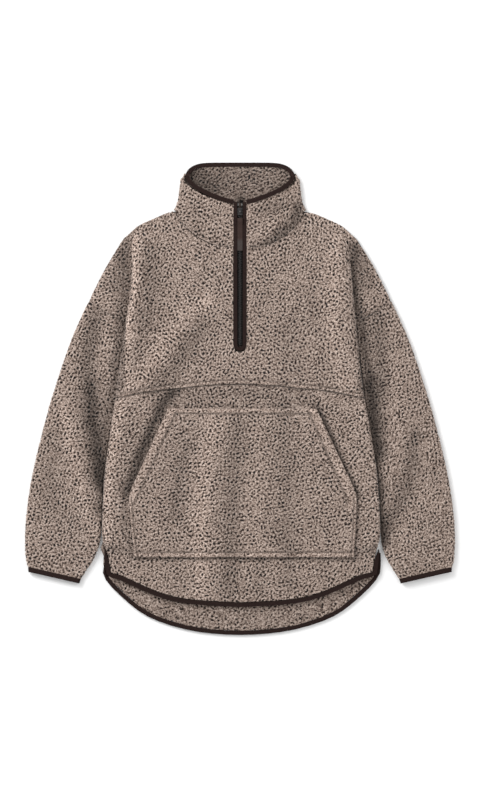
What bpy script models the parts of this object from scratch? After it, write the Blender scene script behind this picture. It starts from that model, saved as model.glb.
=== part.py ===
"""Quarter-zip pullover in curly fleece, laid flat on its back.

The garment lies on a surface at z = 0, its collar towards +Y and its hem towards -Y. The back panel
and the lower layers of the sleeves and the collar rest on the surface, and the front lies on them.
Every cloth piece is an open sheet, placed point by point by a rule, with its wall from Solidify.
Tables are in millimetres. x is measured outwards from the zip line, to either side.
"""

from collections import namedtuple
from math import cos, exp, hypot, pi, radians, sin, sqrt

import bmesh
import bpy
from mathutils import Vector

MM = 0.001
COLLECTION_NAME = "quarter_zip_pullover"
LEFT = -1
RIGHT = 1

# Thicknesses, in millimetres
WALL = 3.5
BINDING_WALL = 4.6
BINDING_WIDTH = 7.3
TAPE_WALL = 0.8
SEAM_GAP = 0.35
TRIM_GAP = 0.9

# Middle heights of the cloth layers above the surface
FLOOR_LAYER = WALL / 2
LAID_LAYER = WALL + SEAM_GAP + WALL / 2
FRONT_MIDDLE = 6.9
BACK_BINDING_LAYER = BINDING_WALL / 2

# The front's side edge rolls over and under: a bend of this length, then a short straight lip
ROLL_BEND = 16.3
ROLL_STEPS = (0, 3.4, 6.8, 10.2, 13.6, 16.8, 20.3)
ROLL_RISE = 56.0
ROLL_SAMPLES = 24

# Zip slit, measured from the zip line
SLIT_HALF = 11.4
SLIT_END = 84.0
SLIT_ROUND = 11.2
SLIT_CUT = 2.7
ZIP_BINDING_OUTER = 10.9
ZIP_BINDING_INNER = 4.9
TAPE_INNER = 2.2
TAPE_OUTER = 10.6
CHAIN_HALF = 4.1
CHAIN_WALL = 2.4
CHAIN_TOP = 329.6
CHAIN_END = 93.5
ZIP_TOP = 343.6

# Front's middle: it rises towards the neck, and falls to the back along the shoulder line
NECK_LIFT = 3.4
NECK_LIFT_START = 190.0
NECK_LIFT_REACH = 76.0
NECK_LIFT_HALF = 58.0
NECK_LIFT_FADE = 48.0
SHOULDER_START = 102.5
SHOULDER_FADE = 34.0

# Rows of the yoke: down to the armhole seam, then to the slit's end, then to the yoke seam
ARMHOLE_ROW = 7
SLIT_ROW = 9
YOKE_ROWS = 12
ARMHOLE_SHARE = 0.569
CENTRE_COLUMNS = (-1.0, -0.75, 0.0, 0.75, 1.0)
SIDE_COLUMNS = (11.4, 20, 29, 38, 47, 57, 68, 79, 91, 103, 114.5, 125, 135, 145, 154, 162.7)

# Dropped shoulders: columns from the fold beside the body to the garment's outline
FLAP_SHARES = (0, 0.1, 0.26, 0.46, 0.66, 0.85, 1)
BACK_FLAP_SHARES = (0, 0.33, 0.66, 1)
SHOULDER_TOP = 279.5
SHOULDER_LOW = 168.8
SHOULDER_PUFF = 3.9
PUFF_ROWS = 4

# Collar, as a flattened tube that is open at the zip
NECK_FRONT = 266.0
RIM_FRONT = 344.0
RIM_HEIGHT = 14.6
COLLAR_SETTLE = 0.6

# Zip slider, heights from the middle of the cloth at the slit
SLIDER_TOP_Y = 333.4
SLIDER_BOTTOM_Y = 320.6
SLIDER_WIDTH = 9.0
SLIDER_ROUND = 0.4
UPPER_PLATE_RISE = 1.25
UPPER_PLATE_WALL = 1.6
LOWER_PLATE_RISE = -4.6
LOWER_PLATE_WALL = 1.4
WEDGE_WIDTH = 2.8
WEDGE_LENGTH = 3.0
WEDGE_INSET = 1.8
ARCH_SIZE = (3.0, 8.0, 4.0)
ARCH_RISE = 3.6
ARCH_ROUND = 0.5
EYE_RADIUS = 1.3
EYE_LENGTH = 8.0

# Pull plate with its bar, window and slot
PULL_AXIS_Y = 329.0
PULL_AXIS_RISE = 3.8
PULL_WIDTH = 11.6
PULL_WALL = 1.4
PULL_TOP_Y = 329.8
PULL_LOW_Y = 312.0
PULL_ROUND = 0.4
WINDOW_WIDTH = 4.4
WINDOW_LOW_Y = 324.3
BAR_RADIUS = 0.8
BAR_LENGTH = 6.0
SLOT_WIDTH = 9.6
SLOT_HEIGHT = 2.4
SLOT_Y = 315.4
CUT_DEPTH = 6.0

# Pull tape: a flat loop through the slot, its two layers on each other at the free end
TAB_HALF = 4.5
TAB_END_Y = 259.0
TAB_LINES = (TAB_END_Y, 272, 285, 296, 303)
TAB_LIE = 0.95
LOOP_DROP = 0.3
LOOP_BEND_Y = 309.0
LOOP_NEAR_Y = 313.4
LOOP_TURN_Y = 315.1
LOOP_END_Y = 315.45
LOOP_TURN_RISE = 0.35

# Metal stops at the top of the tapes
STOP_SIZE = (2.0, 4.0, 2.2)
STOP_X = 3.3
STOP_Y = 339.5
STOP_ROUND = 0.4

BodyRow = namedtuple("BodyRow", "y left right turn rest")
BODY_ROWS = (
    BodyRow(299, 183, 181, 0, 6.2),
    BodyRow(268, 188, 188, 46, 6.7),
    BodyRow(238, 187, 192, 78, 6.8),
    BodyRow(191, 189.5, 196, 88, 6.8),
    BodyRow(131, 198.5, 201.5, 82, 6.8),
    BodyRow(112, 201.5, 203, 112, 6.4),
    BodyRow(92, 204.5, 205.5, 155, 5.8),
    BodyRow(76, 206.5, 207, 176, LAID_LAYER),
    BodyRow(60, 209, 208, 180, LAID_LAYER),
    BodyRow(0, 216.5, 217, 180, LAID_LAYER),
    BodyRow(-60, 225.5, 227, 180, LAID_LAYER),
    BodyRow(-125, 234.5, 237.5, 180, LAID_LAYER),
    BodyRow(-182, 238, 242, 180, LAID_LAYER),
    BodyRow(-224, 240, 243.5, 180, LAID_LAYER),
    BodyRow(-240, 239.5, 243.5, 150, LAID_LAYER),
    BodyRow(-252, 237, 241.5, 92, 6.4),
    BodyRow(-260, 234.5, 239.5, 42, 7.1),
    BodyRow(-267, 232, 237.5, 10, 7.1),
    BodyRow(-280, 229, 234.5, 0, 7.1),
    BodyRow(-310, 224.5, 230.5, 0, 7.1),
)

OutlinePoint = namedtuple("OutlinePoint", "x y")
NECK_SEAM = (
    OutlinePoint(0, 266), OutlinePoint(12, 266), OutlinePoint(30, 267), OutlinePoint(47, 270),
    OutlinePoint(68, 280), OutlinePoint(91, 296), OutlinePoint(104, 309), OutlinePoint(111, 320),
    OutlinePoint(114.5, 329),
)
BACK_NECK_SEAM = (OutlinePoint(0, 318), OutlinePoint(60, 319), OutlinePoint(114.5, 329))
SHOULDER_LINE = (
    OutlinePoint(114.5, 329), OutlinePoint(129, 325), OutlinePoint(152, 315),
    OutlinePoint(175, 304.5), OutlinePoint(183, 299),
)
COLLAR_RIM_FRONT = (
    OutlinePoint(0, 346), OutlinePoint(15, 347), OutlinePoint(39, 355), OutlinePoint(62, 364),
    OutlinePoint(84, 376), OutlinePoint(96, 383), OutlinePoint(101.5, 388),
)
COLLAR_RIM_BACK = (
    OutlinePoint(0, 413.5), OutlinePoint(68, 413), OutlinePoint(80, 410.5), OutlinePoint(91, 404.5),
    OutlinePoint(98, 396), OutlinePoint(101.5, 388),
)
SHOULDER_OUTLINE = (
    OutlinePoint(168, 264.5), OutlinePoint(178.5, 260.5), OutlinePoint(199.5, 250),
    OutlinePoint(220.5, 239.5), OutlinePoint(241.5, 227.5), OutlinePoint(262.5, 214.5),
    OutlinePoint(279.5, 204),
)
YOKE_SEAM = (
    OutlinePoint(0, 25.4), OutlinePoint(45, 24.3), OutlinePoint(80, 21), OutlinePoint(120, 17),
    OutlinePoint(165, 12), OutlinePoint(184, 8), OutlinePoint(216, 1.5),
)
FRONT_HEM = (
    OutlinePoint(0, -355.4), OutlinePoint(60, -352.5), OutlinePoint(105, -347.5),
    OutlinePoint(137, -339.5), OutlinePoint(157, -331.5), OutlinePoint(176, -323.5),
    OutlinePoint(197, -313.5), OutlinePoint(214, -306.5), OutlinePoint(228, -303.5),
)
BACK_HEM = (
    OutlinePoint(0, -405.3), OutlinePoint(60, -402), OutlinePoint(105, -394),
    OutlinePoint(121, -389), OutlinePoint(148, -379), OutlinePoint(169, -368),
    OutlinePoint(187, -354.5), OutlinePoint(205, -337), OutlinePoint(219, -321),
    OutlinePoint(233, -310.5),
)

# Half width of the collar at a share of its height
CollarWidth = namedtuple("CollarWidth", "height half")
COLLAR_WIDTHS = (
    CollarWidth(0, 114.5), CollarWidth(0.12, 111), CollarWidth(0.24, 107.6),
    CollarWidth(0.45, 106), CollarWidth(0.85, 103.2), CollarWidth(1, 100.2),
)
COLLAR_SHARES = (0.22, 0.36, 0.5, 0.64, 0.78, 0.89, 0.96)
COLLAR_LOW_SHARES = (0.95, 0.84, 0.68, 0.48, 0.25, 0)
COLLAR_SIDE_ANGLES = (0, 45, 90, 135, 180)
COLLAR_ROWS = (0, 0.16, 0.36, 0.6, 0.8, 1.0)
COLLAR_SIDE_LOW = 6.6
COLLAR_SIDE_HIGH = 9.6

# Upper edge of the collar's cloth: on the front, round the side by angle, and on the back
COLLAR_EDGE_FRONT = (
    OutlinePoint(11.4, 338.8), OutlinePoint(30, 344), OutlinePoint(46, 349.2),
    OutlinePoint(62, 356), OutlinePoint(76, 363.6), OutlinePoint(87, 371.4), OutlinePoint(93, 378),
)
CollarSide = namedtuple("CollarSide", "angle y")
COLLAR_SIDE_EDGE = (
    CollarSide(0, 380.5), CollarSide(45, 386), CollarSide(90, 388.5), CollarSide(135, 386.5),
    CollarSide(180, 384.5),
)
COLLAR_EDGE_BACK = (
    OutlinePoint(0, 405.2), OutlinePoint(46, 405), OutlinePoint(65, 404), OutlinePoint(80, 398),
    OutlinePoint(91, 388),
)

# Middle line of the binding round the collar's rim, from the zip over the side to the back
RimPoint = namedtuple("RimPoint", "x y z")
COLLAR_RIM = (
    RimPoint(11.4, 343.6, 15.15), RimPoint(21, 346.2, 15.15), RimPoint(30, 349, 15.15),
    RimPoint(46, 354.3, 15.0), RimPoint(60, 360.4, 14.1), RimPoint(72.3, 367, 12.8),
    RimPoint(80.5, 372.4, 11.7), RimPoint(86.5, 377.7, 10.9), RimPoint(90, 382.3, 10.3),
    RimPoint(91.8, 387.3, 9.6), RimPoint(91.6, 392.4, 8.7), RimPoint(89, 397.5, 7.5),
    RimPoint(84.4, 401.9, 6.0), RimPoint(78, 405.6, 4.4), RimPoint(70, 408.3, 3.0),
    RimPoint(58, 409.6, 2.3), RimPoint(40, 409.85, 2.3), RimPoint(20, 409.85, 2.3),
    RimPoint(0, 409.85, 2.3),
)

# Back panel's side, below the armhole, and its columns
BACK_SIDE_INSET = 2.2
BACK_SIDE_LOW = -238.0
BACK_COLUMNS = (0, 0.2, 0.4, 0.62, 0.74, 0.87, 1)
BACK_LINES = (299, 280, 262, 240, 216, 194, 172, 151, 131, 90, 40, -15, -70, -125, -180, -225,
              -255, -275, -293, -311)
BACK_ARMHOLE_LINE = BACK_LINES.index(131)
BACK_VENT_LINE = BACK_LINES.index(-275)
VENT_TOP = -268.0
BACK_VENT_EDGE = 233.0
BACK_VENT_SHIFT = 3.0

# Rows of the front lower panel at its outer edge, close together at the vent's top
LOWER_LINES = (1.5, -38, -78, -118, -158, -196, -224, -238, -248, -256, -262, -268, -282, -303)
LOWER_VENT_LINE = LOWER_LINES.index(VENT_TOP)
YOKE_SEAM_LEVEL = 10.0

# Sleeve sections, from the armhole to the edge of the cuff: the outer and the inner end of each
# section, and how high the upper layer lies over the lower one between its edges. The right inner
# end lies further out by shift.
SleeveRow = namedtuple("SleeveRow", "row outer_x outer_y inner_x inner_y shift height")
SLEEVE_ROWS = (
    SleeveRow(0, 264.5, 168.0, 205.2, 131.0, 2.6, 7.2),
    SleeveRow(1, 283, 129, 208.3, 92, 1.2, 7.3),
    SleeveRow(2, 301, 84, 214, 48, 0.2, 7.3),
    SleeveRow(3, 317, 36, 219.9, 5, 0.5, 7.3),
    SleeveRow(4, 331.5, -10, 226.6, -42, 1.3, 7.3),
    SleeveRow(5, 345, -60, 234.2, -95, 2.4, 7.3),
    SleeveRow(6, 356.5, -107, 239.8, -145, 3.5, 7.3),
    SleeveRow(7, 366, -155, 242.4, -195, 4.0, 7.3),
    SleeveRow(8, 372.5, -203, 244, -240, 3.4, 7.3),
    SleeveRow(9, 375, -245, 252, -270, 1.0, 7.0),
    SleeveRow(10, 373.5, -280, 268, -297, 0, 6.6),
    SleeveRow(11, 369.2, -294.3, 279.8, -314.8, 0, 6.2),
    SleeveRow(12, 368.2, -302.4, 282.8, -322, 0, 6.2),
)
CUFF_ROW = 11
SLEEVE_EDGE = 6.2
SLEEVE_EDGE_ANGLES = (180, 135, 90, 45, 0)
SLEEVE_SHARES = (0.1, 0.24, 0.38, 0.52, 0.66, 0.8, 0.92)
SLEEVE_LOW_SHARES = (0.66, 0.33)
SLEEVE_STEPS = 18
SLEEVE_FOLD_FADE = 1.5
CUFF_BINDING_STEPS = 2

# Soft folds of the upper layer: a ridge from one point to another, height negative in a trough.
# Here x runs across the whole garment, negative to the left.
Fold = namedtuple("Fold", "x1 y1 x2 y2 width height")
FRONT_FOLDS = (
    Fold(0, 345, 0, 84, 34, 1.9),
    Fold(-92, 178, -172, 30, 15, 4.6),
    Fold(-140, 190, -158, 110, 16, 1.6),
    Fold(96, 205, 150, 60, 24, 2.2),
    Fold(60, 90, 120, 45, 18, 1.2),
    Fold(-61, -45, -58, -215, 15, 3.4),
    Fold(44, -60, 40, -205, 15, 2.8),
    Fold(128, -70, 140, -190, 20, 1.8),
    Fold(-150, -60, -140, -180, 18, 1.6),
    Fold(-38, -285, -40, -345, 11, 2.4),
    Fold(14, -285, 12, -350, 11, 2.2),
    Fold(66, -285, 60, -345, 11, 2.2),
    Fold(-110, -270, -104, -330, 14, 1.6),
    Fold(128, -270, 118, -330, 15, 1.6),
)
SLEEVE_FOLDS = (
    Fold(-312, -50, -268, -215, 15, 2.6),
    Fold(-252, 105, -272, 0, 13, -1.7),
    Fold(-272, 0, -246, -140, 12, -2.6),
    Fold(-340, -140, -338, -215, 14, -1.6),
    Fold(-290, 90, -318, -10, 16, 1.2),
    Fold(252, 110, 262, -60, 14, -2.4),
    Fold(312, -85, 262, -245, 12, -2.8),
    Fold(330, -110, 292, -250, 15, 2.2),
    Fold(290, 60, 312, -50, 18, 1.6),
    Fold(252, -240, 300, -262, 9, -1.4),
)

# Kangaroo pocket: its edges at a row, right and left of the zip line
PocketRow = namedtuple("PocketRow", "y left right")
POCKET_ROWS = (
    PocketRow(-16.5, 126, 133.5),
    PocketRow(-166, 194, 204),
    PocketRow(-222, 190, 202),
    PocketRow(-276.5, 184, 198.6),
)
POCKET_CORNER = -166.0
POCKET_COLUMNS = 26
POCKET_LINES = (-16.5, -38, -60, -82, -104, -126, -146, -166, -190, -210, -226, -238, -250, -263, -276.5)
POCKET_CLEAR = 1.0
POCKET_REACH = 9.0
POCKET_MOUTH_LIFT = 1.8
POCKET_MOUTH_FADE = 40.0
POCKET_MOUTH_COLUMNS = 4

# Places down the zip, close together where the collar bends
ZIP_LINES = (ZIP_TOP, 329.6, 314, 302, 290, 278, 266, 252, 234, 214, 190, 160, 130, 108)
SLIT_TURNS = 10
TAPE_END = 88.0


def read(table, column, at):
    """Value of a column at a place along the table's first column, on a smooth curve."""
    rows = sorted(table, key=lambda row: row[0])
    keys = [row[0] for row in rows]
    values = [getattr(row, column) for row in rows]
    if at <= keys[0]:
        return values[0]
    if at >= keys[-1]:
        return values[-1]
    low = max(i for i in range(len(keys) - 1) if keys[i] <= at)
    span = keys[low + 1] - keys[low]
    share = (at - keys[low]) / span
    slopes = [(values[i + 1] - values[i]) / (keys[i + 1] - keys[i]) for i in range(len(keys) - 1)]

    def tangent(i):
        """Slope at a row, flat where the column turns, so that the curve never overshoots."""
        if i == 0:
            return slopes[0]
        if i == len(keys) - 1:
            return slopes[-1]
        before, after = slopes[i - 1], slopes[i]
        if before * after <= 0:
            return 0.0
        return 2 * before * after / (before + after)

    start, end = tangent(low) * span, tangent(low + 1) * span
    rise = values[low + 1] - values[low]
    bend = share * share * (3 - 2 * share)
    return (values[low] + rise * bend + start * share * (1 - share) ** 2
            - end * share * share * (1 - share))


def smooth(share):
    """Soft step from 0 to 1."""
    share = min(max(share, 0.0), 1.0)
    return share * share * (3 - 2 * share)


def mix(start, end, share):
    return start + (end - start) * share


def fold_height(folds, x, y):
    """Sum of the soft ridges and troughs at a point."""
    total = 0.0
    for fold in folds:
        along_x, along_y = fold.x2 - fold.x1, fold.y2 - fold.y1
        share = ((x - fold.x1) * along_x + (y - fold.y1) * along_y) / (along_x ** 2 + along_y ** 2)
        share = min(max(share, 0.0), 1.0)
        away = hypot(x - fold.x1 - along_x * share, y - fold.y1 - along_y * share)
        total += fold.height * exp(-(away / fold.width) ** 2)
    return total


def roll(turn, length):
    """Way out and way down of a point that far round the rolled side edge."""
    angle = max(radians(turn), 0.001)
    radius = ROLL_BEND / angle
    if length <= ROLL_BEND:
        return radius * sin(length / radius), radius * (1 - cos(length / radius))
    lip = length - ROLL_BEND
    return (radius * sin(angle) + lip * cos(angle),
            radius * (1 - cos(angle)) + lip * sin(angle))


def side_name(side):
    return "left" if side == LEFT else "right"


def roll_start(side, y):
    """Distance from the zip line at which the front starts to roll over."""
    turn = read(BODY_ROWS, "turn", y)
    reach = max(roll(turn, ROLL_STEPS[-1] * i / ROLL_SAMPLES)[0] for i in range(ROLL_SAMPLES + 1))
    return read(BODY_ROWS, side_name(side), y) - reach


def crest_height(y):
    """Height at which the roll starts, so that its lip lies on the back panel."""
    return read(BODY_ROWS, "rest", y) + roll(read(BODY_ROWS, "turn", y), ROLL_STEPS[-1])[1]


def top_edge(x):
    """The yoke's upper edge: neck seam, then shoulder line."""
    x = abs(x)
    if x < NECK_SEAM[-1].x:
        return read(NECK_SEAM, "y", x)
    return read(SHOULDER_LINE, "y", x)


def front_height(x, y):
    """Middle of the front's wall above the surface."""
    side = LEFT if x < 0 else RIGHT
    away = abs(x)
    lift = NECK_LIFT * smooth((y - NECK_LIFT_START) / NECK_LIFT_REACH)
    lift *= 1 - smooth((away - NECK_LIFT_HALF) / NECK_LIFT_FADE)
    level = FRONT_MIDDLE + lift + fold_height(FRONT_FOLDS, x, y)
    if away > SHOULDER_START:
        below = top_edge(max(away, NECK_SEAM[-1].x)) - y
        level = mix(LAID_LAYER, level, smooth(below / SHOULDER_FADE))
    start = roll_start(side, y)
    return mix(level, crest_height(y), smooth((away - start + ROLL_RISE) / ROLL_RISE))


def body_column(side, share, y):
    """x of a column of the front, a share of the way from the slit to the roll."""
    return side * mix(SLIT_HALF, roll_start(side, y), share)


def column_shares():
    first, last = SIDE_COLUMNS[0], SIDE_COLUMNS[-1]
    return [(x - first) / (last - first) for x in SIDE_COLUMNS]


def add_grid(mesh, columns, rows, place):
    """Adds a grid of cells and puts each of its points where place(column, row) says."""
    made = bmesh.ops.create_grid(mesh, x_segments=columns, y_segments=rows, size=1.0)["verts"]
    points = {}
    for vert in made:
        column = round((vert.co.x + 1) / 2 * columns)
        row = round((1 - vert.co.y) / 2 * rows)
        points[column, row] = vert
    for (column, row), vert in points.items():
        vert.co = Vector(place(column, row)) * MM
    return points


def weld(mesh):
    bmesh.ops.remove_doubles(mesh, verts=mesh.verts, dist=0.00002)


def make_object(name, mesh, collection, wall=None):
    """Turns a bmesh into an object, with a wall on both sides of an open sheet."""
    data = bpy.data.meshes.new(name)
    mesh.to_mesh(data)
    mesh.free()
    data.shade_smooth()
    made = bpy.data.objects.new(name, data)
    collection.objects.link(made)
    if wall:
        thicken = made.modifiers.new("wall", "SOLIDIFY")
        thicken.thickness = wall * MM
        thicken.offset = 0
    return made


def front_columns():
    """Columns right across the front, as (side, share) or a place inside the slit."""
    shares = column_shares()
    steps = len(ROLL_STEPS) - 1
    left = [("roll", LEFT, i) for i in range(steps, 0, -1)]
    left += [("body", LEFT, share) for share in reversed(shares[1:])]
    centre = [("slit", 0, place) for place in CENTRE_COLUMNS]
    right = [("body", RIGHT, share) for share in shares[1:]]
    right += [("roll", RIGHT, i) for i in range(1, steps + 1)]
    return left + centre + right


def front_point(column, y):
    """A point of the front's sheet on one of its columns."""
    kind, side, value = column
    if kind == "slit":
        x = value * SLIT_HALF
        return x, y, front_height(x, y)
    if kind == "body":
        x = body_column(side, value, y)
        return x, y, front_height(x, y)
    turn = read(BODY_ROWS, "turn", y)
    out, down = roll(turn, ROLL_STEPS[value])
    return side * (roll_start(side, y) + out), y, crest_height(y) - down


def column_top(column):
    """y at which a column of the front meets the neck seam or the shoulder line."""
    kind, side, value = column
    if kind == "slit":
        return top_edge(value * SLIT_HALF)
    if kind == "body":
        return top_edge(body_column(side, value, SHOULDER_LINE[-1].y))
    flat_x = roll_start(side, SHOULDER_LINE[-1].y) + ROLL_STEPS[value]
    return top_edge(flat_x)


def seam_y(x):
    return read(YOKE_SEAM, "y", abs(x))


def make_yoke(collection):
    """Front yoke with both dropped shoulders and the zip's slit."""
    mesh = bmesh.new()
    columns = front_columns()
    slit_share = (NECK_FRONT - SLIT_END) / (NECK_FRONT - YOKE_SEAM[0].y)
    marks = ((0, 0), (ARMHOLE_ROW, ARMHOLE_SHARE), (SLIT_ROW, slit_share), (YOKE_ROWS, 1))
    shares = [0]
    for (first, start), (last, end) in zip(marks, marks[1:]):
        shares += [mix(start, end, (i - first) / (last - first)) for i in range(first + 1, last + 1)]

    def row_y(column, row):
        top = column_top(columns[column]) - TRIM_GAP / 2
        low = seam_y(front_point(columns[column], YOKE_SEAM_LEVEL)[0]) + SEAM_GAP
        return mix(top, low, shares[row])

    def place(column, row):
        kind, _, value = columns[column]
        x, y, z = front_point(columns[column], row_y(column, row))
        if kind == "slit" and row == SLIT_ROW:
            y = SLIT_END + SLIT_ROUND
            if abs(value) < 1:
                y -= sqrt((SLIT_ROUND + SLIT_CUT) ** 2 - x ** 2)
        return x, y, z

    points = add_grid(mesh, len(columns) - 1, len(shares) - 1, place)
    first = columns.index(("slit", 0, CENTRE_COLUMNS[0]))
    inside = [points[column, row] for column in range(first + 1, first + len(CENTRE_COLUMNS) - 1)
              for row in range(SLIT_ROW)]
    bmesh.ops.delete(mesh, geom=inside, context="VERTS")

    last = len(columns) - 1
    for side in (LEFT, RIGHT):
        edge = 0 if side == LEFT else last

        def place_flap(column, row, side=side, edge=edge):
            step = column if side == RIGHT else len(FLAP_SHARES) - 1 - column
            x1, y1, z1 = place(edge, row)
            return flap_point(side, FLAP_SHARES[step], row, x1, y1, z1)

        add_grid(mesh, len(FLAP_SHARES) - 1, ARMHOLE_ROW, place_flap)
    weld(mesh)
    return make_object("front_yoke", mesh, collection, WALL)


def shoulder_outline(row):
    """Outer edge of the dropped shoulder at a row, down to the armhole seam."""
    y = mix(SHOULDER_TOP, SHOULDER_LOW, row / ARMHOLE_ROW)
    return read(SHOULDER_OUTLINE, "y", y), y


def flap_point(side, share, row, x1, y1, z1):
    """Point of a dropped shoulder, from the fold beside the body out to the garment's outline."""
    x2, y2 = shoulder_outline(row)
    puff = SHOULDER_PUFF * smooth(row / PUFF_ROWS) * (1 - abs(2 * share - 1) ** 3)
    return mix(x1, side * x2, share), mix(y1, y2, share), mix(z1, LAID_LAYER, share) + puff


def lower_rows(column):
    """y of each row of the front lower panel on a column."""
    first, last = LOWER_LINES[0], LOWER_LINES[-1]
    top = seam_y(front_point(column, YOKE_SEAM_LEVEL)[0]) - SEAM_GAP
    hem = read(FRONT_HEM, "y", abs(front_point(column, last)[0]))
    return [mix(top, hem, (y - first) / (last - first)) for y in LOWER_LINES]


def lower_grid(mesh):
    """Sheet of the front lower panel: its points, and its last column and row."""
    columns = front_columns()
    rows = [lower_rows(column) for column in columns]
    last, low = len(columns) - 1, len(LOWER_LINES) - 1

    def place(column, row):
        return front_point(columns[column], rows[column][row])

    return add_grid(mesh, last, low, place), last, low


def make_lower(collection):
    """Front lower panel, from the yoke seam to the rounded hem, its sides rolled under."""
    mesh = bmesh.new()
    lower_grid(mesh)
    return make_object("front_lower_panel", mesh, collection, WALL)


def back_side(side, y):
    """Side edge of the back panel."""
    if y < VENT_TOP:
        return BACK_VENT_EDGE + (BACK_VENT_SHIFT if side == RIGHT else 0)
    return read(BODY_ROWS, side_name(side), max(y, BACK_SIDE_LOW)) - BACK_SIDE_INSET


def back_grid(mesh):
    """Sheet of the back panel: its points, their rule, and its last column and row."""
    columns = [-share for share in reversed(BACK_COLUMNS[1:])] + list(BACK_COLUMNS)
    first, last = BACK_LINES[0], BACK_LINES[-1]

    def place(column, row):
        share = columns[column]
        side = LEFT if share < 0 else RIGHT
        at_top = abs(share) * back_side(side, first)
        if at_top < NECK_SEAM[-1].x:
            top = read(BACK_NECK_SEAM, "y", at_top)
        else:
            top = read(SHOULDER_LINE, "y", at_top)
        hem = read(BACK_HEM, "y", abs(share) * BACK_HEM[-1].x)
        down = (first - BACK_LINES[row]) / (first - last)
        y = mix(top - TRIM_GAP / 2, hem, down)
        return share * back_side(side, BACK_LINES[row]), y, FLOOR_LAYER

    points = add_grid(mesh, len(columns) - 1, len(BACK_LINES) - 1, place)
    return points, place, len(columns) - 1, len(BACK_LINES) - 1


def make_back(collection):
    """Back panel with its dropped shoulders, flat on the surface."""
    mesh = bmesh.new()
    _, place, last, _ = back_grid(mesh)
    for side in (LEFT, RIGHT):
        edge = 0 if side == LEFT else last

        def place_flap(column, row, side=side, edge=edge):
            share = BACK_FLAP_SHARES[column if side == RIGHT else len(BACK_FLAP_SHARES) - 1 - column]
            x1, y1, z1 = place(edge, row)
            x2, y2 = shoulder_outline(row * ARMHOLE_ROW / BACK_ARMHOLE_LINE)
            return mix(x1, side * x2, share), mix(y1, y2, share), z1

        add_grid(mesh, len(BACK_FLAP_SHARES) - 1, BACK_ARMHOLE_LINE, place_flap)
    weld(mesh)
    return make_object("back_panel", mesh, collection, WALL)


def make_pocket(collection):
    """Kangaroo pocket, laid on the front lower panel, a little raised along its two mouths."""
    mesh = bmesh.new()

    def edge(side, y):
        if y > POCKET_CORNER:
            upper, corner = POCKET_ROWS[0], POCKET_ROWS[1]
            share = (upper.y - y) / (upper.y - corner.y)
            return mix(getattr(upper, side_name(side)), getattr(corner, side_name(side)), share)
        return read(POCKET_ROWS, side_name(side), y)

    def place(column, row):
        y = POCKET_LINES[row]
        x = mix(-edge(LEFT, y), edge(RIGHT, y), column / POCKET_COLUMNS)
        mouth = smooth((POCKET_ROWS[0].y - y) / POCKET_MOUTH_FADE)
        mouth *= smooth((y - POCKET_CORNER) / POCKET_MOUTH_FADE)
        near = 1 - smooth(min(column, POCKET_COLUMNS - column) / POCKET_MOUTH_COLUMNS)
        lift = WALL + POCKET_CLEAR + POCKET_MOUTH_LIFT * mouth * near
        ground = max(front_height(x, y + step) for step in (-POCKET_REACH, 0, POCKET_REACH))
        return x, y, ground + lift

    add_grid(mesh, POCKET_COLUMNS, len(POCKET_LINES) - 1, place)
    return make_object("kangaroo_pocket", mesh, collection, WALL)


def sleeve_point(side, along, part, value):
    """Point of a sleeve's wall: on the upper or lower layer, or at an angle round an edge."""
    row = {name: read(SLEEVE_ROWS, name, along) for name in SleeveRow._fields}
    outer = Vector((side * row["outer_x"], row["outer_y"], 0))
    inner_x = row["inner_x"] + (row["shift"] if side == RIGHT else 0)
    inner = Vector((side * inner_x, row["inner_y"], 0))
    across = (inner - outer).normalized()
    radius = SLEEVE_EDGE / 2
    if part in ("outer", "inner"):
        end, inwards = (outer, across) if part == "outer" else (inner, -across)
        point = end + inwards * radius * (1 - sin(radians(value)))
        return point.x, point.y, FLOOR_LAYER + radius * (1 - cos(radians(value)))
    point = (outer + across * radius).lerp(inner - across * radius, value)
    if part == "lower":
        return point.x, point.y, FLOOR_LAYER
    fold = fold_height(SLEEVE_FOLDS, point.x, point.y)
    fold *= smooth(along / SLEEVE_FOLD_FADE) * smooth((CUFF_ROW - along) / SLEEVE_FOLD_FADE)
    crown = 1 - abs(2 * value - 1) ** 3
    height = SLEEVE_EDGE + (row["height"] - SLEEVE_EDGE + fold) * crown
    return point.x, point.y, FLOOR_LAYER + max(height, WALL + SEAM_GAP)


def sleeve_loop(side):
    """Places round a sleeve, so that its faces point outwards."""
    upper = [("upper", share) for share in SLEEVE_SHARES]
    inner = [("inner", angle) for angle in SLEEVE_EDGE_ANGLES]
    lower = [("lower", share) for share in SLEEVE_LOW_SHARES]
    outer = [("outer", angle) for angle in reversed(SLEEVE_EDGE_ANGLES)]
    loop = outer + upper + inner + lower + outer[:1]
    return loop if side == LEFT else list(reversed(loop))


def make_sleeve(side, collection):
    """Sleeve as a flattened tube, open at the armhole and at the cuff."""
    mesh = bmesh.new()
    loop = sleeve_loop(side)

    def place(column, row):
        along = CUFF_ROW * row / SLEEVE_STEPS
        return sleeve_point(side, along, *loop[column])

    add_grid(mesh, len(loop) - 1, SLEEVE_STEPS, place)
    weld(mesh)
    return make_object("sleeve_" + side_name(side), mesh, collection, WALL)


def make_cuff_binding(side, collection):
    """Binding round a cuff's edge."""
    mesh = bmesh.new()
    loop = sleeve_loop(side)
    first = CUFF_ROW + TRIM_GAP / BINDING_WIDTH
    thicker = (BINDING_WALL - WALL) / 2

    def place(column, row):
        along = mix(first, len(SLEEVE_ROWS) - 1, row / CUFF_BINDING_STEPS)
        x, y, z = sleeve_point(side, along, *loop[column])
        return x, y, z + thicker

    add_grid(mesh, len(loop) - 1, CUFF_BINDING_STEPS, place)
    weld(mesh)
    return make_object("cuff_binding_" + side_name(side), mesh, collection, BINDING_WALL)


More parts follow.
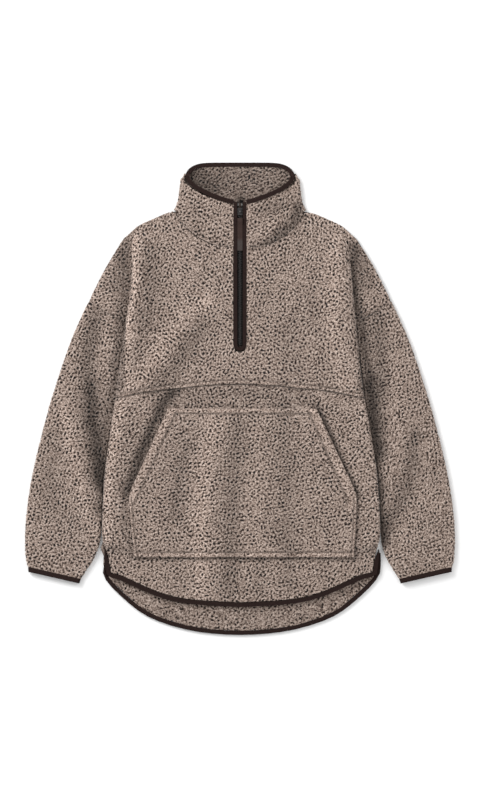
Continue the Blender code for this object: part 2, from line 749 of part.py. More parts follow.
def collar_loop():
    """Places round the collar, from the zip's right edge by the back to its left edge."""
    right = [("upper", RIGHT, share) for share in COLLAR_SHARES]
    right += [("side", RIGHT, angle) for angle in COLLAR_SIDE_ANGLES]
    right += [("lower", RIGHT, share) for share in COLLAR_LOW_SHARES]
    left = [(part, LEFT, value) for part, _, value in reversed(right[:-1])]
    return [("zip", RIGHT, 0)] + right + left + [("zip", LEFT, 0)]


def collar_point(place, height):
    """Point of the collar at a place round the neck and a share of its height."""
    part, side, value = place
    half = read(COLLAR_WIDTHS, "half", height)
    side_top = mix(COLLAR_SIDE_LOW, COLLAR_SIDE_HIGH, smooth(height / COLLAR_SETTLE))
    radius = (side_top - FLOOR_LAYER) / 2
    if part == "side":
        share = 1
        x = half - radius * (1 - sin(radians(value)))
    elif part == "zip":
        share = SLIT_HALF / (half - radius)
        x = SLIT_HALF
    else:
        share = value
        x = value * (half - radius)
    low_x, high_x = share * NECK_SEAM[-1].x, share * COLLAR_RIM_FRONT[-1].x
    behind = part == "lower"
    seam, rim = (BACK_NECK_SEAM, COLLAR_RIM_BACK) if behind else (NECK_SEAM, COLLAR_RIM_FRONT)
    y = mix(read(seam, "y", low_x), read(rim, "y", high_x), height)
    if part == "side":
        z = FLOOR_LAYER + radius * (1 + cos(radians(value)))
    elif behind:
        z = FLOOR_LAYER
    else:
        base = front_height(side * low_x, read(NECK_SEAM, "y", low_x) - TRIM_GAP)
        top = mix(base, RIM_HEIGHT, smooth(height / COLLAR_SETTLE))
        z = mix(top, side_top, smooth((share - 0.5) / 0.5))
    return side * x, y, z


def collar_reach(place):
    """Shares of the height at which the collar's cloth starts and ends."""
    part, side, value = place
    seam, rim = collar_point(place, 0), collar_point(place, 1)
    if part == "side":
        edge = read(COLLAR_SIDE_EDGE, "y", value)
    elif part == "lower":
        edge = read(COLLAR_EDGE_BACK, "y", abs(rim[0]))
    else:
        edge = read(COLLAR_EDGE_FRONT, "y", abs(rim[0]))
    depth = rim[1] - seam[1]
    return TRIM_GAP / 2 / depth, (edge - seam[1]) / depth


def make_collar(collection):
    """Stand collar as a flattened tube, open at the top, at the neck and at the zip."""
    mesh = bmesh.new()
    loop = collar_loop()

    def place(column, row):
        low, high = collar_reach(loop[column])
        return collar_point(loop[column], mix(low, high, COLLAR_ROWS[len(COLLAR_ROWS) - 1 - row]))

    add_grid(mesh, len(loop) - 1, len(COLLAR_ROWS) - 1, place)
    return make_object("collar", mesh, collection, WALL)


def make_collar_binding(collection):
    """Binding round the collar's rim, from the zip's right edge by the back to its left edge."""
    path = list(COLLAR_RIM) + [RimPoint(-x, y, z) for x, y, z in reversed(COLLAR_RIM[:-1])]
    middle = -BINDING_WIDTH / 2 - TRIM_GAP
    return edge_strip("collar_binding", path, lambda i: path[i].z, collection, middle)


def edge_strip(name, path, height, collection, start=0.0):
    """Binding along a panel's edge. The path runs with the panel on its left hand, and the strip
    starts that far outside it, past the gap."""
    mesh = bmesh.new()
    count = len(path) - 1

    def outwards(i):
        before, after = path[max(i - 1, 0)], path[min(i + 1, count)]
        run = Vector((after[0] - before[0], after[1] - before[1], 0)).normalized()
        return Vector((run.y, -run.x, 0))

    def place(column, row):
        i = column
        far = start + TRIM_GAP + BINDING_WIDTH * row / 2
        point = Vector(path[i]) + outwards(i) * far
        return point.x, point.y, height(i)

    add_grid(mesh, count, 2, place)
    return make_object(name, mesh, collection, BINDING_WALL)


def hem_path(points, vent, last, low):
    """Edge of a panel's sheet: down one vent, along the hem and up the other vent."""
    path = [points[0, row].co / MM for row in range(vent, low)]
    path += [points[column, low].co / MM for column in range(0, last + 1)]
    return path + [points[last, row].co / MM for row in range(low - 1, vent - 1, -1)]


def make_hem_bindings(collection):
    """Bindings of the front and the back hem, each with its two vents."""
    mesh = bmesh.new()
    points, last, low = lower_grid(mesh)
    front = hem_path(points, LOWER_VENT_LINE, last, low)
    mesh.free()
    clear = BINDING_WALL + SEAM_GAP + BINDING_WALL / 2
    edge_strip("front_hem_binding", front, lambda i: max(front[i].z, clear), collection)

    mesh = bmesh.new()
    points, _, last, low = back_grid(mesh)
    back = hem_path(points, BACK_VENT_LINE, last, low)
    mesh.free()
    edge_strip("back_hem_binding", back, lambda i: BACK_BINDING_LAYER, collection)


def zip_height(y):
    """Middle of the cloth's wall beside the zip."""
    if y <= NECK_FRONT:
        return front_height(SLIT_HALF, y)
    share = (y - NECK_FRONT) / (RIM_FRONT - NECK_FRONT)
    return mix(front_height(SLIT_HALF, NECK_FRONT), RIM_HEIGHT, smooth(share / COLLAR_SETTLE))


def make_zip_binding(collection):
    """One strip of binding down one side of the slit, round its end and up the other side."""
    mesh = bmesh.new()
    centre_y = SLIT_END + SLIT_ROUND
    path = [("side", LEFT, y) for y in ZIP_LINES]
    path += [("round", pi + pi * i / SLIT_TURNS, 0) for i in range(SLIT_TURNS + 1)]
    path += [("side", RIGHT, y) for y in reversed(ZIP_LINES)]

    def place(column, row):
        across = mix(ZIP_BINDING_INNER, ZIP_BINDING_OUTER, row / 2)
        kind, value, y = path[column]
        if kind == "side":
            return value * across, y, zip_height(y)
        y = centre_y + across * sin(value)
        return across * cos(value), y, zip_height(centre_y)

    add_grid(mesh, len(path) - 1, 2, place)
    return make_object("zip_binding", mesh, collection, BINDING_WALL)


def make_zip_strip(name, inner, outer, low, high, drop, wall, collection):
    """Flat strip along the zip between two distances from its line."""
    mesh = bmesh.new()
    stops = [high] + [y for y in ZIP_LINES if low < y < high] + [low]

    def place(column, row):
        y = stops[row]
        return (outer if column else inner), y, zip_height(y) + drop

    add_grid(mesh, 1, len(stops) - 1, place)
    return make_object(name, mesh, collection, wall)


def make_zip(collection):
    """Two tapes under the binding and the closed chain on them."""
    tape_drop = -(BINDING_WALL + TAPE_WALL) / 2 - SEAM_GAP
    chain_drop = tape_drop + (TAPE_WALL + CHAIN_WALL) / 2 + SEAM_GAP
    make_zip_strip("zip_tape_left", -TAPE_OUTER, -TAPE_INNER, TAPE_END, ZIP_TOP, tape_drop,
                   TAPE_WALL, collection)
    make_zip_strip("zip_tape_right", TAPE_INNER, TAPE_OUTER, TAPE_END, ZIP_TOP, tape_drop,
                   TAPE_WALL, collection)
    make_zip_strip("zip_chain", -CHAIN_HALF, CHAIN_HALF, CHAIN_END, CHAIN_TOP, chain_drop,
                   CHAIN_WALL, collection)
    return tape_drop


def add_box(name, size, centre, collection, bevel=0.0):
    """Box of a given size, in millimetres, with slightly rounded edges."""
    bpy.ops.mesh.primitive_cube_add(size=1, location=Vector(centre) * MM)
    made = bpy.context.object
    made.name = name
    made.scale = Vector(size) * MM
    bpy.ops.object.transform_apply(location=False, rotation=False, scale=True)
    for owner in list(made.users_collection):
        owner.objects.unlink(made)
    collection.objects.link(made)
    if bevel:
        edge = made.modifiers.new("edge", "BEVEL")
        edge.width = bevel * MM
    return made


def add_bar(name, radius, length, centre, collection):
    """Round bar along X."""
    bpy.ops.mesh.primitive_cylinder_add(vertices=16, radius=radius * MM, depth=length * MM,
                                        location=Vector(centre) * MM, rotation=(0, pi / 2, 0))
    made = bpy.context.object
    made.name = name
    for owner in list(made.users_collection):
        owner.objects.unlink(made)
    collection.objects.link(made)
    return made


def combine(target, other, operation):
    """Boolean of one object with another, which goes to the cutters."""
    step = target.modifiers.new(operation.lower() + "_" + other.name, "BOOLEAN")
    step.operation = operation
    step.object = other
    other.hide_render = True
    other.display_type = "WIRE"


def make_slider(collection, cutters):
    """Zip slider: two plates joined by a wedge, with an arch on top for the pull's bar."""
    cloth = zip_height(PULL_AXIS_Y)
    length = SLIDER_TOP_Y - SLIDER_BOTTOM_Y
    middle = (SLIDER_TOP_Y + SLIDER_BOTTOM_Y) / 2
    low, high = cloth + LOWER_PLATE_RISE, cloth + UPPER_PLATE_RISE
    slider = add_box("zip_slider", (SLIDER_WIDTH, length, UPPER_PLATE_WALL), (0, middle, high),
                     collection, SLIDER_ROUND)
    under = add_box("slider_lower_plate", (SLIDER_WIDTH, length, LOWER_PLATE_WALL),
                    (0, middle, low), cutters, SLIDER_ROUND)
    wedge = add_box("slider_wedge", (WEDGE_WIDTH, WEDGE_LENGTH, high - low),
                    (0, SLIDER_TOP_Y - WEDGE_INSET, (high + low) / 2), cutters)
    arch = add_box("slider_arch", ARCH_SIZE, (0, PULL_AXIS_Y, cloth + ARCH_RISE), cutters,
                   ARCH_ROUND)
    eye = add_bar("slider_eye", EYE_RADIUS, EYE_LENGTH,
                  (0, PULL_AXIS_Y, cloth + PULL_AXIS_RISE), cutters)
    combine(slider, under, "UNION")
    combine(slider, wedge, "UNION")
    combine(slider, arch, "UNION")
    combine(slider, eye, "DIFFERENCE")
    return slider


def make_pull_plate(collection, cutters):
    """Pull plate with a window round its bar and a slot for the tape."""
    axis_z = zip_height(PULL_AXIS_Y) + PULL_AXIS_RISE
    plate = add_box("pull_plate", (PULL_WIDTH, PULL_TOP_Y - PULL_LOW_Y, PULL_WALL),
                    (0, (PULL_TOP_Y + PULL_LOW_Y) / 2, axis_z), collection, PULL_ROUND)
    window_end = PULL_AXIS_Y + BAR_RADIUS * 2
    window = add_box("pull_window", (WINDOW_WIDTH, window_end - WINDOW_LOW_Y, CUT_DEPTH),
                     (0, (window_end + WINDOW_LOW_Y) / 2, axis_z), cutters)
    bar = add_bar("pull_bar", BAR_RADIUS, BAR_LENGTH, (0, PULL_AXIS_Y, axis_z), cutters)
    slot = add_box("pull_slot", (SLOT_WIDTH, SLOT_HEIGHT, CUT_DEPTH), (0, SLOT_Y, axis_z), cutters)
    combine(plate, window, "DIFFERENCE")
    combine(plate, bar, "UNION")
    combine(plate, slot, "DIFFERENCE")
    return plate


def make_pull_tape(collection):
    """Tape looped through the plate's slot, its two layers lying on each other."""
    mesh = bmesh.new()
    cloth = zip_height(PULL_AXIS_Y)
    apart = PULL_WALL / 2 + SEAM_GAP + TAPE_WALL / 2
    lower, upper = cloth + PULL_AXIS_RISE - apart, cloth + PULL_AXIS_RISE + apart
    on_top = TAB_LIE + TAPE_WALL + SEAM_GAP
    ribbon = [(y, zip_height(y) + TAB_LIE) for y in TAB_LINES]
    ribbon += [(LOOP_BEND_Y, lower - LOOP_DROP), (LOOP_NEAR_Y, lower)]
    ribbon += [(LOOP_TURN_Y, lower + LOOP_TURN_RISE), (LOOP_END_Y, cloth + PULL_AXIS_RISE)]
    ribbon += [(LOOP_TURN_Y, upper - LOOP_TURN_RISE), (LOOP_NEAR_Y, upper)]
    ribbon += [(LOOP_BEND_Y, upper - LOOP_DROP)]
    ribbon += [(y, zip_height(y) + on_top) for y in reversed(TAB_LINES)]

    def place(column, row):
        y, z = ribbon[row]
        return (TAB_HALF if column else -TAB_HALF), y, z

    add_grid(mesh, 1, len(ribbon) - 1, place)
    return make_object("pull_tape", mesh, collection, TAPE_WALL)


def make_stops(tape_drop, collection):
    """Metal stops at the top of each tape."""
    z = zip_height(STOP_Y) + tape_drop + TAPE_WALL / 2 + SEAM_GAP + STOP_SIZE[2] / 2
    for side in (LEFT, RIGHT):
        add_box("top_stop_" + side_name(side), STOP_SIZE, (side * STOP_X, STOP_Y, z), collection,
                STOP_ROUND)


def make_material(name, colour, roughness, metallic=0.0):
    material = bpy.data.materials.new(name)
    material.use_nodes = True
    surface = material.node_tree.nodes["Principled BSDF"]
    surface.inputs["Base Color"].default_value = (*colour, 1)
    surface.inputs["Roughness"].default_value = roughness
    surface.inputs["Metallic"].default_value = metallic
    return material


def paint(collection):
    """Each piece gets its own material, in its finish's colour."""
    finishes = {
        "binding": ((0.035, 0.024, 0.022), 0.75, 0.0),
        "zip_tape": ((0.02, 0.017, 0.016), 0.8, 0.0),
        "pull_tape": ((0.05, 0.036, 0.03), 0.8, 0.0),
        "zip_chain": ((0.03, 0.03, 0.03), 0.4, 0.6),
        "zip_slider": ((0.05, 0.05, 0.05), 0.35, 0.9),
        "pull_plate": ((0.05, 0.05, 0.05), 0.35, 0.9),
        "top_stop": ((0.05, 0.05, 0.05), 0.35, 0.9),
    }
    fleece = ((0.42, 0.34, 0.29), 0.95, 0.0)
    for piece in collection.objects:
        match = [finish for word, finish in finishes.items() if word in piece.name]
        piece.data.materials.clear()
        piece.data.materials.append(make_material(piece.name, *(match or [fleece])[0]))


def main():
    for old in list(bpy.data.objects):
        bpy.data.objects.remove(old, do_unlink=True)
    garment = bpy.data.collections.new(COLLECTION_NAME)
    cutters = bpy.data.collections.new("cutters")
    bpy.context.scene.collection.children.link(garment)
    bpy.context.scene.collection.children.link(cutters)

    make_back(garment)
    make_yoke(garment)
    make_lower(garment)
    make_pocket(garment)
    make_collar(garment)
    make_collar_binding(garment)
    for side in (LEFT, RIGHT):
        make_sleeve(side, garment)
        make_cuff_binding(side, garment)
    make_hem_bindings(garment)
    make_zip_binding(garment)
    tape_drop = make_zip(garment)
    make_stops(tape_drop, garment)
    make_slider(garment, cutters)
    make_pull_plate(garment, cutters)
    make_pull_tape(garment)
    paint(garment)


main()
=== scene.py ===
# %% [markdown]
# # A quarter-zip pullover in curly fleece, laid flat
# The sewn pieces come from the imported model: back, front yoke, lower front, kangaroo pocket, collar
# and two sleeves, with dark bindings and a short zip. This lesson gives them their looks. Each cloth
# piece is a fine copy of its solid, with pile, folds and stitching, and each trim gets its finish.

from collections import namedtuple
from math import pi, radians

import bpy
import numpy as np
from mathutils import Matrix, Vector
from mathutils.bvhtree import BVHTree


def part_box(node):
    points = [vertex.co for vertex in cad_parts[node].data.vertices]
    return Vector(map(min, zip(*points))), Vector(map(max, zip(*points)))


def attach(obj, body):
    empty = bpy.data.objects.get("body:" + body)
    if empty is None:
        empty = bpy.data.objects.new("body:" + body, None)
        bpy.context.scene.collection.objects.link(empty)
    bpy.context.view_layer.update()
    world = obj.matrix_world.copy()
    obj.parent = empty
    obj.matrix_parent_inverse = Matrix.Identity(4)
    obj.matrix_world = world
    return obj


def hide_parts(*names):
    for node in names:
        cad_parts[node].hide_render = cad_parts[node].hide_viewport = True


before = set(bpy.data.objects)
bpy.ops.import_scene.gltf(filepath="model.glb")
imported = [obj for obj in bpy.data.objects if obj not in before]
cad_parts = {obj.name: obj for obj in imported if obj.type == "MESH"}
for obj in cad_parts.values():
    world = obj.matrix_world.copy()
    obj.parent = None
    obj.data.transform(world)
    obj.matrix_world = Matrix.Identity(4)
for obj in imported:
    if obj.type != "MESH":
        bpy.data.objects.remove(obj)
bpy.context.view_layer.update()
MM = 0.001
print("nodes:", len(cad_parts))

# %% [markdown]
# ## Camera, floor and light
# The garment was photographed from straight above on white. A long lens far away keeps its outline
# free of perspective, and the picture's height covers 1.4 m. The light is a large soft panel from
# the upper left, with a weaker one on the right and pale surroundings, so folds read softly.

# %% Camera
PICTURE_HEIGHT = 1.4
CAMERA_DISTANCE = 6.0
SENSOR = 36.0
PICTURE_MIDDLE_Y = -0.00175

camera = bpy.data.objects.new("camera", bpy.data.cameras.new("camera"))
bpy.context.scene.collection.objects.link(camera)
camera.data.sensor_width = SENSOR
camera.data.lens = SENSOR * CAMERA_DISTANCE / PICTURE_HEIGHT
camera.location = (0, PICTURE_MIDDLE_Y, CAMERA_DISTANCE)
bpy.context.scene.camera = camera
bpy.context.scene.view_settings.view_transform = "Standard"
print("lens:", round(camera.data.lens, 1), "mm")

# %% Light
Panel = namedtuple("Panel", "name place size power")
PANELS = (
    Panel("key_light", (-2.2, 2.0, 2.1), 2.0, 126.0),
    Panel("fill_light", (2.4, 0.6, 2.6), 2.4, 26.0),
)
for panel in PANELS:
    lamp = bpy.data.lights.new(panel.name, "AREA")
    lamp.size = panel.size
    lamp.energy = panel.power
    holder = bpy.data.objects.new(panel.name, lamp)
    bpy.context.scene.collection.objects.link(holder)
    holder.location = panel.place
    holder.rotation_euler = (-Vector(panel.place)).to_track_quat("-Z", "Y").to_euler()
    print(panel.name, panel.power, "W")

SURROUND = 0.74
world = bpy.data.worlds.new("studio")
world.use_nodes = True
world.node_tree.nodes["Background"].inputs["Color"].default_value = (1, 1, 1, 1)
world.node_tree.nodes["Background"].inputs["Strength"].default_value = SURROUND
bpy.context.scene.world = world

# %% [markdown]
# ## Shader maths as plain expressions
# A material is a graph of nodes. A small class wraps a value's socket, so that `1 - mask * 0.5`
# adds its Math nodes by itself, and one method makes any other node.

# %% Shader helper
class Value:
    """A node's output that can be used in sums."""

    def __init__(self, paint, socket):
        self.paint = paint
        self.socket = socket

    def math(self, operation, first, second=0.0):
        return self.paint.node("ShaderNodeMath", {"operation": operation}, {0: first, 1: second})

    def __add__(self, other):
        return self.math("ADD", self, other)

    def __sub__(self, other):
        return self.math("SUBTRACT", self, other)

    def __rsub__(self, other):
        return self.math("SUBTRACT", other, self)

    def __mul__(self, other):
        return self.math("MULTIPLY", self, other)

    __radd__ = __add__
    __rmul__ = __mul__


class Paint:
    """One material, and the nodes that it is made of."""

    def __init__(self, name, roughness, **constants):
        self.material = bpy.data.materials.new(name)
        self.material.use_nodes = True
        self.tree = self.material.node_tree
        self.surface = self.tree.nodes["Principled BSDF"]
        self.surface.inputs["Roughness"].default_value = roughness
        for socket, value in constants.items():
            self.surface.inputs[socket.replace("_", " ")].default_value = value

    def node(self, kind, settings, inputs, output=0):
        made = self.tree.nodes.new(kind)
        for name, value in settings.items():
            if name == "stops":
                self.set_stops(made.color_ramp, value)
            else:
                setattr(made, name, value)
        for name, value in inputs.items():
            if isinstance(value, Value):
                self.tree.links.new(value.socket, made.inputs[name])
            else:
                made.inputs[name].default_value = value
        return Value(self, made.outputs[output])

    def set_stops(self, ramp, stops):
        while len(ramp.elements) < len(stops):
            ramp.elements.new(1.0)
        for element, (position, colour) in zip(ramp.elements, stops):
            element.position = position
            element.color = (*colour, 1)

    def place(self):
        return self.node("ShaderNodeTexCoord", {}, {}, "Object")

    def along(self, axis):
        """One of the object's own coordinates, in metres."""
        return self.node("ShaderNodeSeparateXYZ", {}, {"Vector": self.place()}, axis)

    def wave(self, value, pitch):
        """Ribs of that pitch, -1 to 1."""
        return self.node("ShaderNodeMath", {"operation": "SINE"}, {0: value * (2 * pi / pitch)})

    def attribute(self, name):
        return self.node("ShaderNodeAttribute", {"attribute_name": name}, {}, "Fac")

    def noise(self, size, detail=1.0, roughness=0.5):
        """Soft random value, 0 to 1 with a middle of 0.5, its lumps about that size in metres."""
        inputs = {"Vector": self.place(), "Scale": 1 / size, "Detail": detail, "Roughness": roughness}
        return self.node("ShaderNodeTexNoise", {}, inputs, "Fac")

    def ramp(self, value, stops):
        return self.node("ShaderNodeValToRGB", {"stops": stops}, {"Fac": value}, "Color")

    def mottle(self, size, dark, light):
        """Surface colour that drifts between two tones, in lumps of about that size."""
        self.feed("Base Color", self.ramp(self.noise(size), ((0.3, dark), (0.7, light))))

    def blend(self, share, first, second, kind="MIX"):
        """Mix of two colours."""
        settings = {"data_type": "RGBA", "blend_type": kind}
        return self.node("ShaderNodeMix", settings, {0: share, 6: first, 7: second}, 2)

    def feed(self, socket, value):
        self.tree.links.new(value.socket, self.surface.inputs[socket])

    def bump(self, height, depth):
        """Relief of that depth in metres where the height goes from 0 to 1."""
        inputs = {"Height": height, "Distance": depth, "Strength": 1.0}
        self.feed("Normal", self.node("ShaderNodeBump", {}, inputs, "Normal"))


# %% [markdown]
# ## Floor
# A pale matt sheet, far larger than the garment, with a trace of unevenness so that it isn't one
# flat colour.

# %% Floor
FLOOR_SIZE = 60.0
FLOOR_DROP = 0.0006

bpy.ops.mesh.primitive_plane_add(size=FLOOR_SIZE, location=(0, 0, -FLOOR_DROP))
floor = bpy.context.object
floor.name = "floor"
paper = Paint("floor_paper", 0.9, Specular_IOR_Level=0.2)
paper.mottle(0.8, (0.9, 0.9, 0.9), (0.93, 0.93, 0.93))
floor.data.materials.append(paper.material)
print("floor:", FLOOR_SIZE, "m wide")

# %% [markdown]
# ## Fleece
# The cloth is a knitted base with curly pile. From above it reads as pale curls with small dark
# holes between them, 6 to 8 mm apart. The curls are real relief in the mesh, and each point of it
# keeps its place between hole and curl in the attribute `pile`. The material turns that attribute
# into colour, from near black in a hole to pale beige on a curl: the darkening into a hole is painted
# shade, and the beige of the curls is the fleece's own colour. It adds the strands, which are finer
# than the mesh, and patches as wide as a hand where the pile lies differently. A second attribute,
# `shade`, multiplies the colour with painted shade in the folds and seam grooves and
# painted highlights on the ridges and hems.

# %% Fleece material
STRAND = 0.0023
STRAND_CONTRAST = 8.8
TONE_SPAN = 0.165
TONE_MIDDLE = 0.565
PATCH = 0.07
STRAND_RELIEF = 0.22
CURL_RELIEF = 0.25
FLEECE_BUMP = 0.0012


def make_fleece(name, dark, brown, middle, light):
    fleece = Paint(name, 0.95, Specular_IOR_Level=0.1, Sheen_Weight=0.16, Sheen_Roughness=0.5)
    strands = (fleece.noise(STRAND, 2.0, 0.6) - 0.5) * STRAND_CONTRAST
    tone = (fleece.attribute("pile") + strands) * TONE_SPAN + TONE_MIDDLE
    # The dark end of the ramp is painted shade at the bottom of the holes between the curls.
    stops = ((0.17, dark), (0.33, brown), (0.53, middle), (0.83, light))
    colour = fleece.ramp(tone, stops)
    patches = fleece.ramp(fleece.noise(PATCH), ((0.3, (0.93, 0.93, 0.93)), (0.7, (1.0, 1.0, 1.0))))
    colour = fleece.blend(1.0, colour, patches, "MULTIPLY")
    # The painted shading, shade in folds and grooves and highlights on ridges and hems, multiplies the
    # colour.
    depth = fleece.attribute("shade")
    shade = fleece.node("ShaderNodeCombineXYZ", {}, {0: depth, 1: depth, 2: depth})
    fleece.feed("Base Color", fleece.blend(1.0, colour, shade, "MULTIPLY"))
    fleece.bump(strands * STRAND_RELIEF + fleece.attribute("pile") * CURL_RELIEF, FLEECE_BUMP)
    return fleece.material


fleece_finish = make_fleece("curly_fleece", (0.010, 0.006, 0.005), (0.062, 0.041, 0.032),
                            (0.262, 0.195, 0.161), (0.57, 0.462, 0.40))
print("material:", fleece_finish.name)

# %% [markdown]
# ## Points of a mesh
# Most of the shaping below is done on all points of a piece at once, as rows of numbers. These
# helpers read them, write them, and store one value for each point, such as its tone.

# %% Point helpers
def points_of(piece):
    points = np.empty(len(piece.data.vertices) * 3, np.float32)
    piece.data.vertices.foreach_get("co", points)
    return points.reshape(-1, 3).astype(float)


def set_points(piece, points):
    piece.data.vertices.foreach_set("co", points.astype(np.float32).ravel())
    piece.data.update()


def normals_of(piece):
    normals = np.empty(len(piece.data.vertices) * 3, np.float32)
    piece.data.vertex_normals.foreach_get("vector", normals)
    return normals.reshape(-1, 3).astype(float)


def edge_ends(piece):
    ends = np.empty(len(piece.data.edges) * 2, np.int32)
    piece.data.edges.foreach_get("vertices", ends)
    return ends.reshape(-1, 2)


def keep(piece, name, values):
    """Stores one number for each point of a mesh."""
    layer = piece.data.attributes.get(name) or piece.data.attributes.new(name, "FLOAT", "POINT")
    layer.data.foreach_set("value", np.asarray(values, np.float32))


def recall(piece, name):
    """Reads back the numbers that `keep` stored."""
    values = np.empty(len(piece.data.vertices), np.float32)
    piece.data.attributes[name].data.foreach_get("value", values)
    return values.astype(float)


def soft_step(values):
    """0 below 0, 1 above 1, and a soft rise between them."""
    values = np.clip(values, 0, 1)
    return values * values * (3 - 2 * values)


def neighbour_mean(piece, values, times):
    """Evens values out over the mesh."""
    ends = edge_ends(piece)
    count = len(piece.data.vertices)
    links = np.bincount(ends.ravel(), minlength=count)
    for _ in range(times):
        total = np.bincount(ends[:, 0], values[ends[:, 1]], count)
        total += np.bincount(ends[:, 1], values[ends[:, 0]], count)
        values = (values + total / np.maximum(links, 1)) / 2
    return values


def only(piece):
    """Selects one object and nothing else."""
    bpy.ops.object.select_all(action="DESELECT")
    piece.select_set(True)
    bpy.context.view_layer.objects.active = piece


def join_copies(copies, name):
    """Makes many copies of one shape into one object."""
    bpy.ops.object.select_all(action="DESELECT")
    for copy in copies:
        copy.select_set(True)
    bpy.context.view_layer.objects.active = copies[0]
    bpy.ops.object.join()
    bpy.ops.object.transform_apply(location=True, rotation=True, scale=True)
    bpy.context.object.name = name
    return bpy.context.object


def tree_of(*meshes):
    """Search tree over the faces of meshes, for rays and for nearest points."""
    points, faces = [], []
    for mesh in meshes:
        start = len(points)
        points += [v.co for v in mesh.vertices]
        faces += [[start + i for i in face.vertices] for face in mesh.polygons]
    return BVHTree.FromPolygons(points, faces)


def report(piece):
    piece.data.calc_loop_triangles()
    print(piece.name, "triangles:", len(piece.data.loop_triangles))


# %% [markdown]
# ## Cloth from the solid
# The solid of a piece has large flat faces. Its copy is welded, its cut edges are rounded, and a
# Subdivision Surface smooths it, so it keeps the solid's form and loses its corners.

# %% Copy and round a solid
WELD = 0.02 * MM
SAME_FACE = radians(50)
CUT_EDGE = radians(48)
EDGE_ROUND = 1.3 * MM


def copy_node(node_name, piece_name):
    """A welded copy of a CAD node's mesh, as an object of its own that stands for it."""
    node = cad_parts[node_name]
    piece = bpy.data.objects.new(piece_name, node.data.copy())
    bpy.context.scene.collection.objects.link(piece)
    piece.data.materials.clear()
    for name in [a.name for a in piece.data.attributes if a.domain == "CORNER" and "UV" in a.name]:
        piece.data.attributes.remove(piece.data.attributes[name])
    only(piece)
    bpy.ops.object.mode_set(mode="EDIT")
    bpy.ops.mesh.select_all(action="SELECT")
    bpy.ops.mesh.remove_doubles(threshold=WELD)
    bpy.ops.mesh.tris_convert_to_quads(face_threshold=SAME_FACE, shape_threshold=pi)
    bpy.ops.object.mode_set(mode="OBJECT")
    if piece.data.has_custom_normals:
        bpy.ops.mesh.customdata_custom_splitnormals_clear()
    piece.data.shade_smooth()
    return piece


def round_edges(piece, width, segments=2):
    only(piece)
    bpy.ops.object.mode_set(mode="EDIT")
    bpy.ops.mesh.select_mode(type="EDGE")
    bpy.ops.mesh.select_all(action="DESELECT")
    bpy.ops.mesh.edges_select_sharp(sharpness=CUT_EDGE)
    bpy.ops.mesh.bevel(offset=width, segments=segments, affect="EDGES", clamp_overlap=True)
    bpy.ops.object.mode_set(mode="OBJECT")
    piece.data.shade_smooth()


def subdivide_smoothly(piece, levels):
    only(piece)
    smoother = piece.modifiers.new("smooth", "SUBSURF")
    smoother.levels = smoother.render_levels = levels
    bpy.ops.object.modifier_apply(modifier=smoother.name)


# %% [markdown]
# ## Grain of the mesh
# The pile needs points about 1.5 mm apart where the cloth shows, and far fewer where it lies hidden
# or faces the floor. A ray from each point finds out which it is. Then edges longer than the grain
# are cut in half, again and again.

# %% Grain
SHOWN_GRAIN = 1.5 * MM
UNDER_GRAIN = 3.4 * MM
HIDDEN_GRAIN = 16 * MM
GRAIN_SLACK = 1.4
NEAR = 12 * MM
ABOVE = 45 * MM
RAY_START = 2.0 * MM
LEVEL = 0.75
UNDERSIDE = -0.4


everything = tree_of(*(node.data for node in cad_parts.values()))


def set_grain(piece):
    """Finds which points show, and stores how fine the mesh has to be there."""
    points, normals = points_of(piece), normals_of(piece)
    grain = np.full(len(points), SHOWN_GRAIN)
    seen = np.ones(len(points))
    for i, (point, normal) in enumerate(zip(points, normals)):
        start = Vector(point + normal * RAY_START)
        reach = ABOVE if abs(normal[2]) > LEVEL else NEAR
        if everything.ray_cast(start, Vector(normal), reach)[0] is not None:
            grain[i], seen[i] = HIDDEN_GRAIN, 0.0
        elif normal[2] < UNDERSIDE:
            grain[i] = UNDER_GRAIN
    keep(piece, "grain", grain)
    keep(piece, "seen", seen)


def refine(piece, passes):
    """Cuts each edge that is longer than the finer grain of its two ends."""
    bpy.context.tool_settings.mesh_select_mode = (False, True, False)
    for _ in range(passes):
        mesh, ends = piece.data, edge_ends(piece)
        points, grain = points_of(piece), recall(piece, "grain")
        length = np.linalg.norm(points[ends[:, 0]] - points[ends[:, 1]], axis=1)
        long = length > grain[ends].min(axis=1) * GRAIN_SLACK
        if not long.any():
            break
        mesh.vertices.foreach_set("select", np.zeros(len(mesh.vertices), bool))
        mesh.polygons.foreach_set("select", np.zeros(len(mesh.polygons), bool))
        mesh.edges.foreach_set("select", long)
        only(piece)
        bpy.ops.object.mode_set(mode="EDIT")
        bpy.ops.mesh.subdivide(number_cuts=1, quadcorner="INNERVERT")
        bpy.ops.object.mode_set(mode="OBJECT")


print("solids that can hide a point:", len(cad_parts))

# %% [markdown]
# ## Pile
# The curls' pattern is a sum of many waves of nearly one length, each in its own random direction.
# Such a sum has lumps of one size and no repeat. It is worked out in space, so it runs on from one
# face to the next. Only its lowest spots are kept in full: they are the small round holes where the
# curls part. Between them the sum is much weaker, and a second, finer one makes the single tufts.

# %% Pile relief
CURL_SPACING = 6.0 * MM
TUFT_SPACING = 4.0 * MM
HOLE_START = -0.7
HOLE_STRENGTH = 2.6
CURL_SHARE = 0.32
TUFT_SHARE = 0.42
CURL_WAVES = 150
PITCH_SPREAD = 0.3
PILE_DEPTH = 0.65 * MM
PILE_RISE = 0.55 * MM
DEEPEST, HIGHEST = 2.4, 2.0
FLAT_BELOW = 1.5 * MM


def waves(points, spacing, seed, count=CURL_WAVES):
    """Sum of waves of about that spacing in random directions, mostly between -2 and 2."""
    draw = np.random.default_rng(seed)
    total = np.zeros(len(points))
    for _ in range(count):
        angle, phase = draw.uniform(0, 2 * pi, 2)
        pitch = 2 * pi / spacing * draw.uniform(1 - PITCH_SPREAD, 1 + PITCH_SPREAD)
        upwards = draw.uniform(-1, 1)
        run = np.array([np.cos(angle), np.sin(angle), upwards]) * pitch
        total += np.cos(points @ run + phase)
    return total * np.sqrt(2 / count)


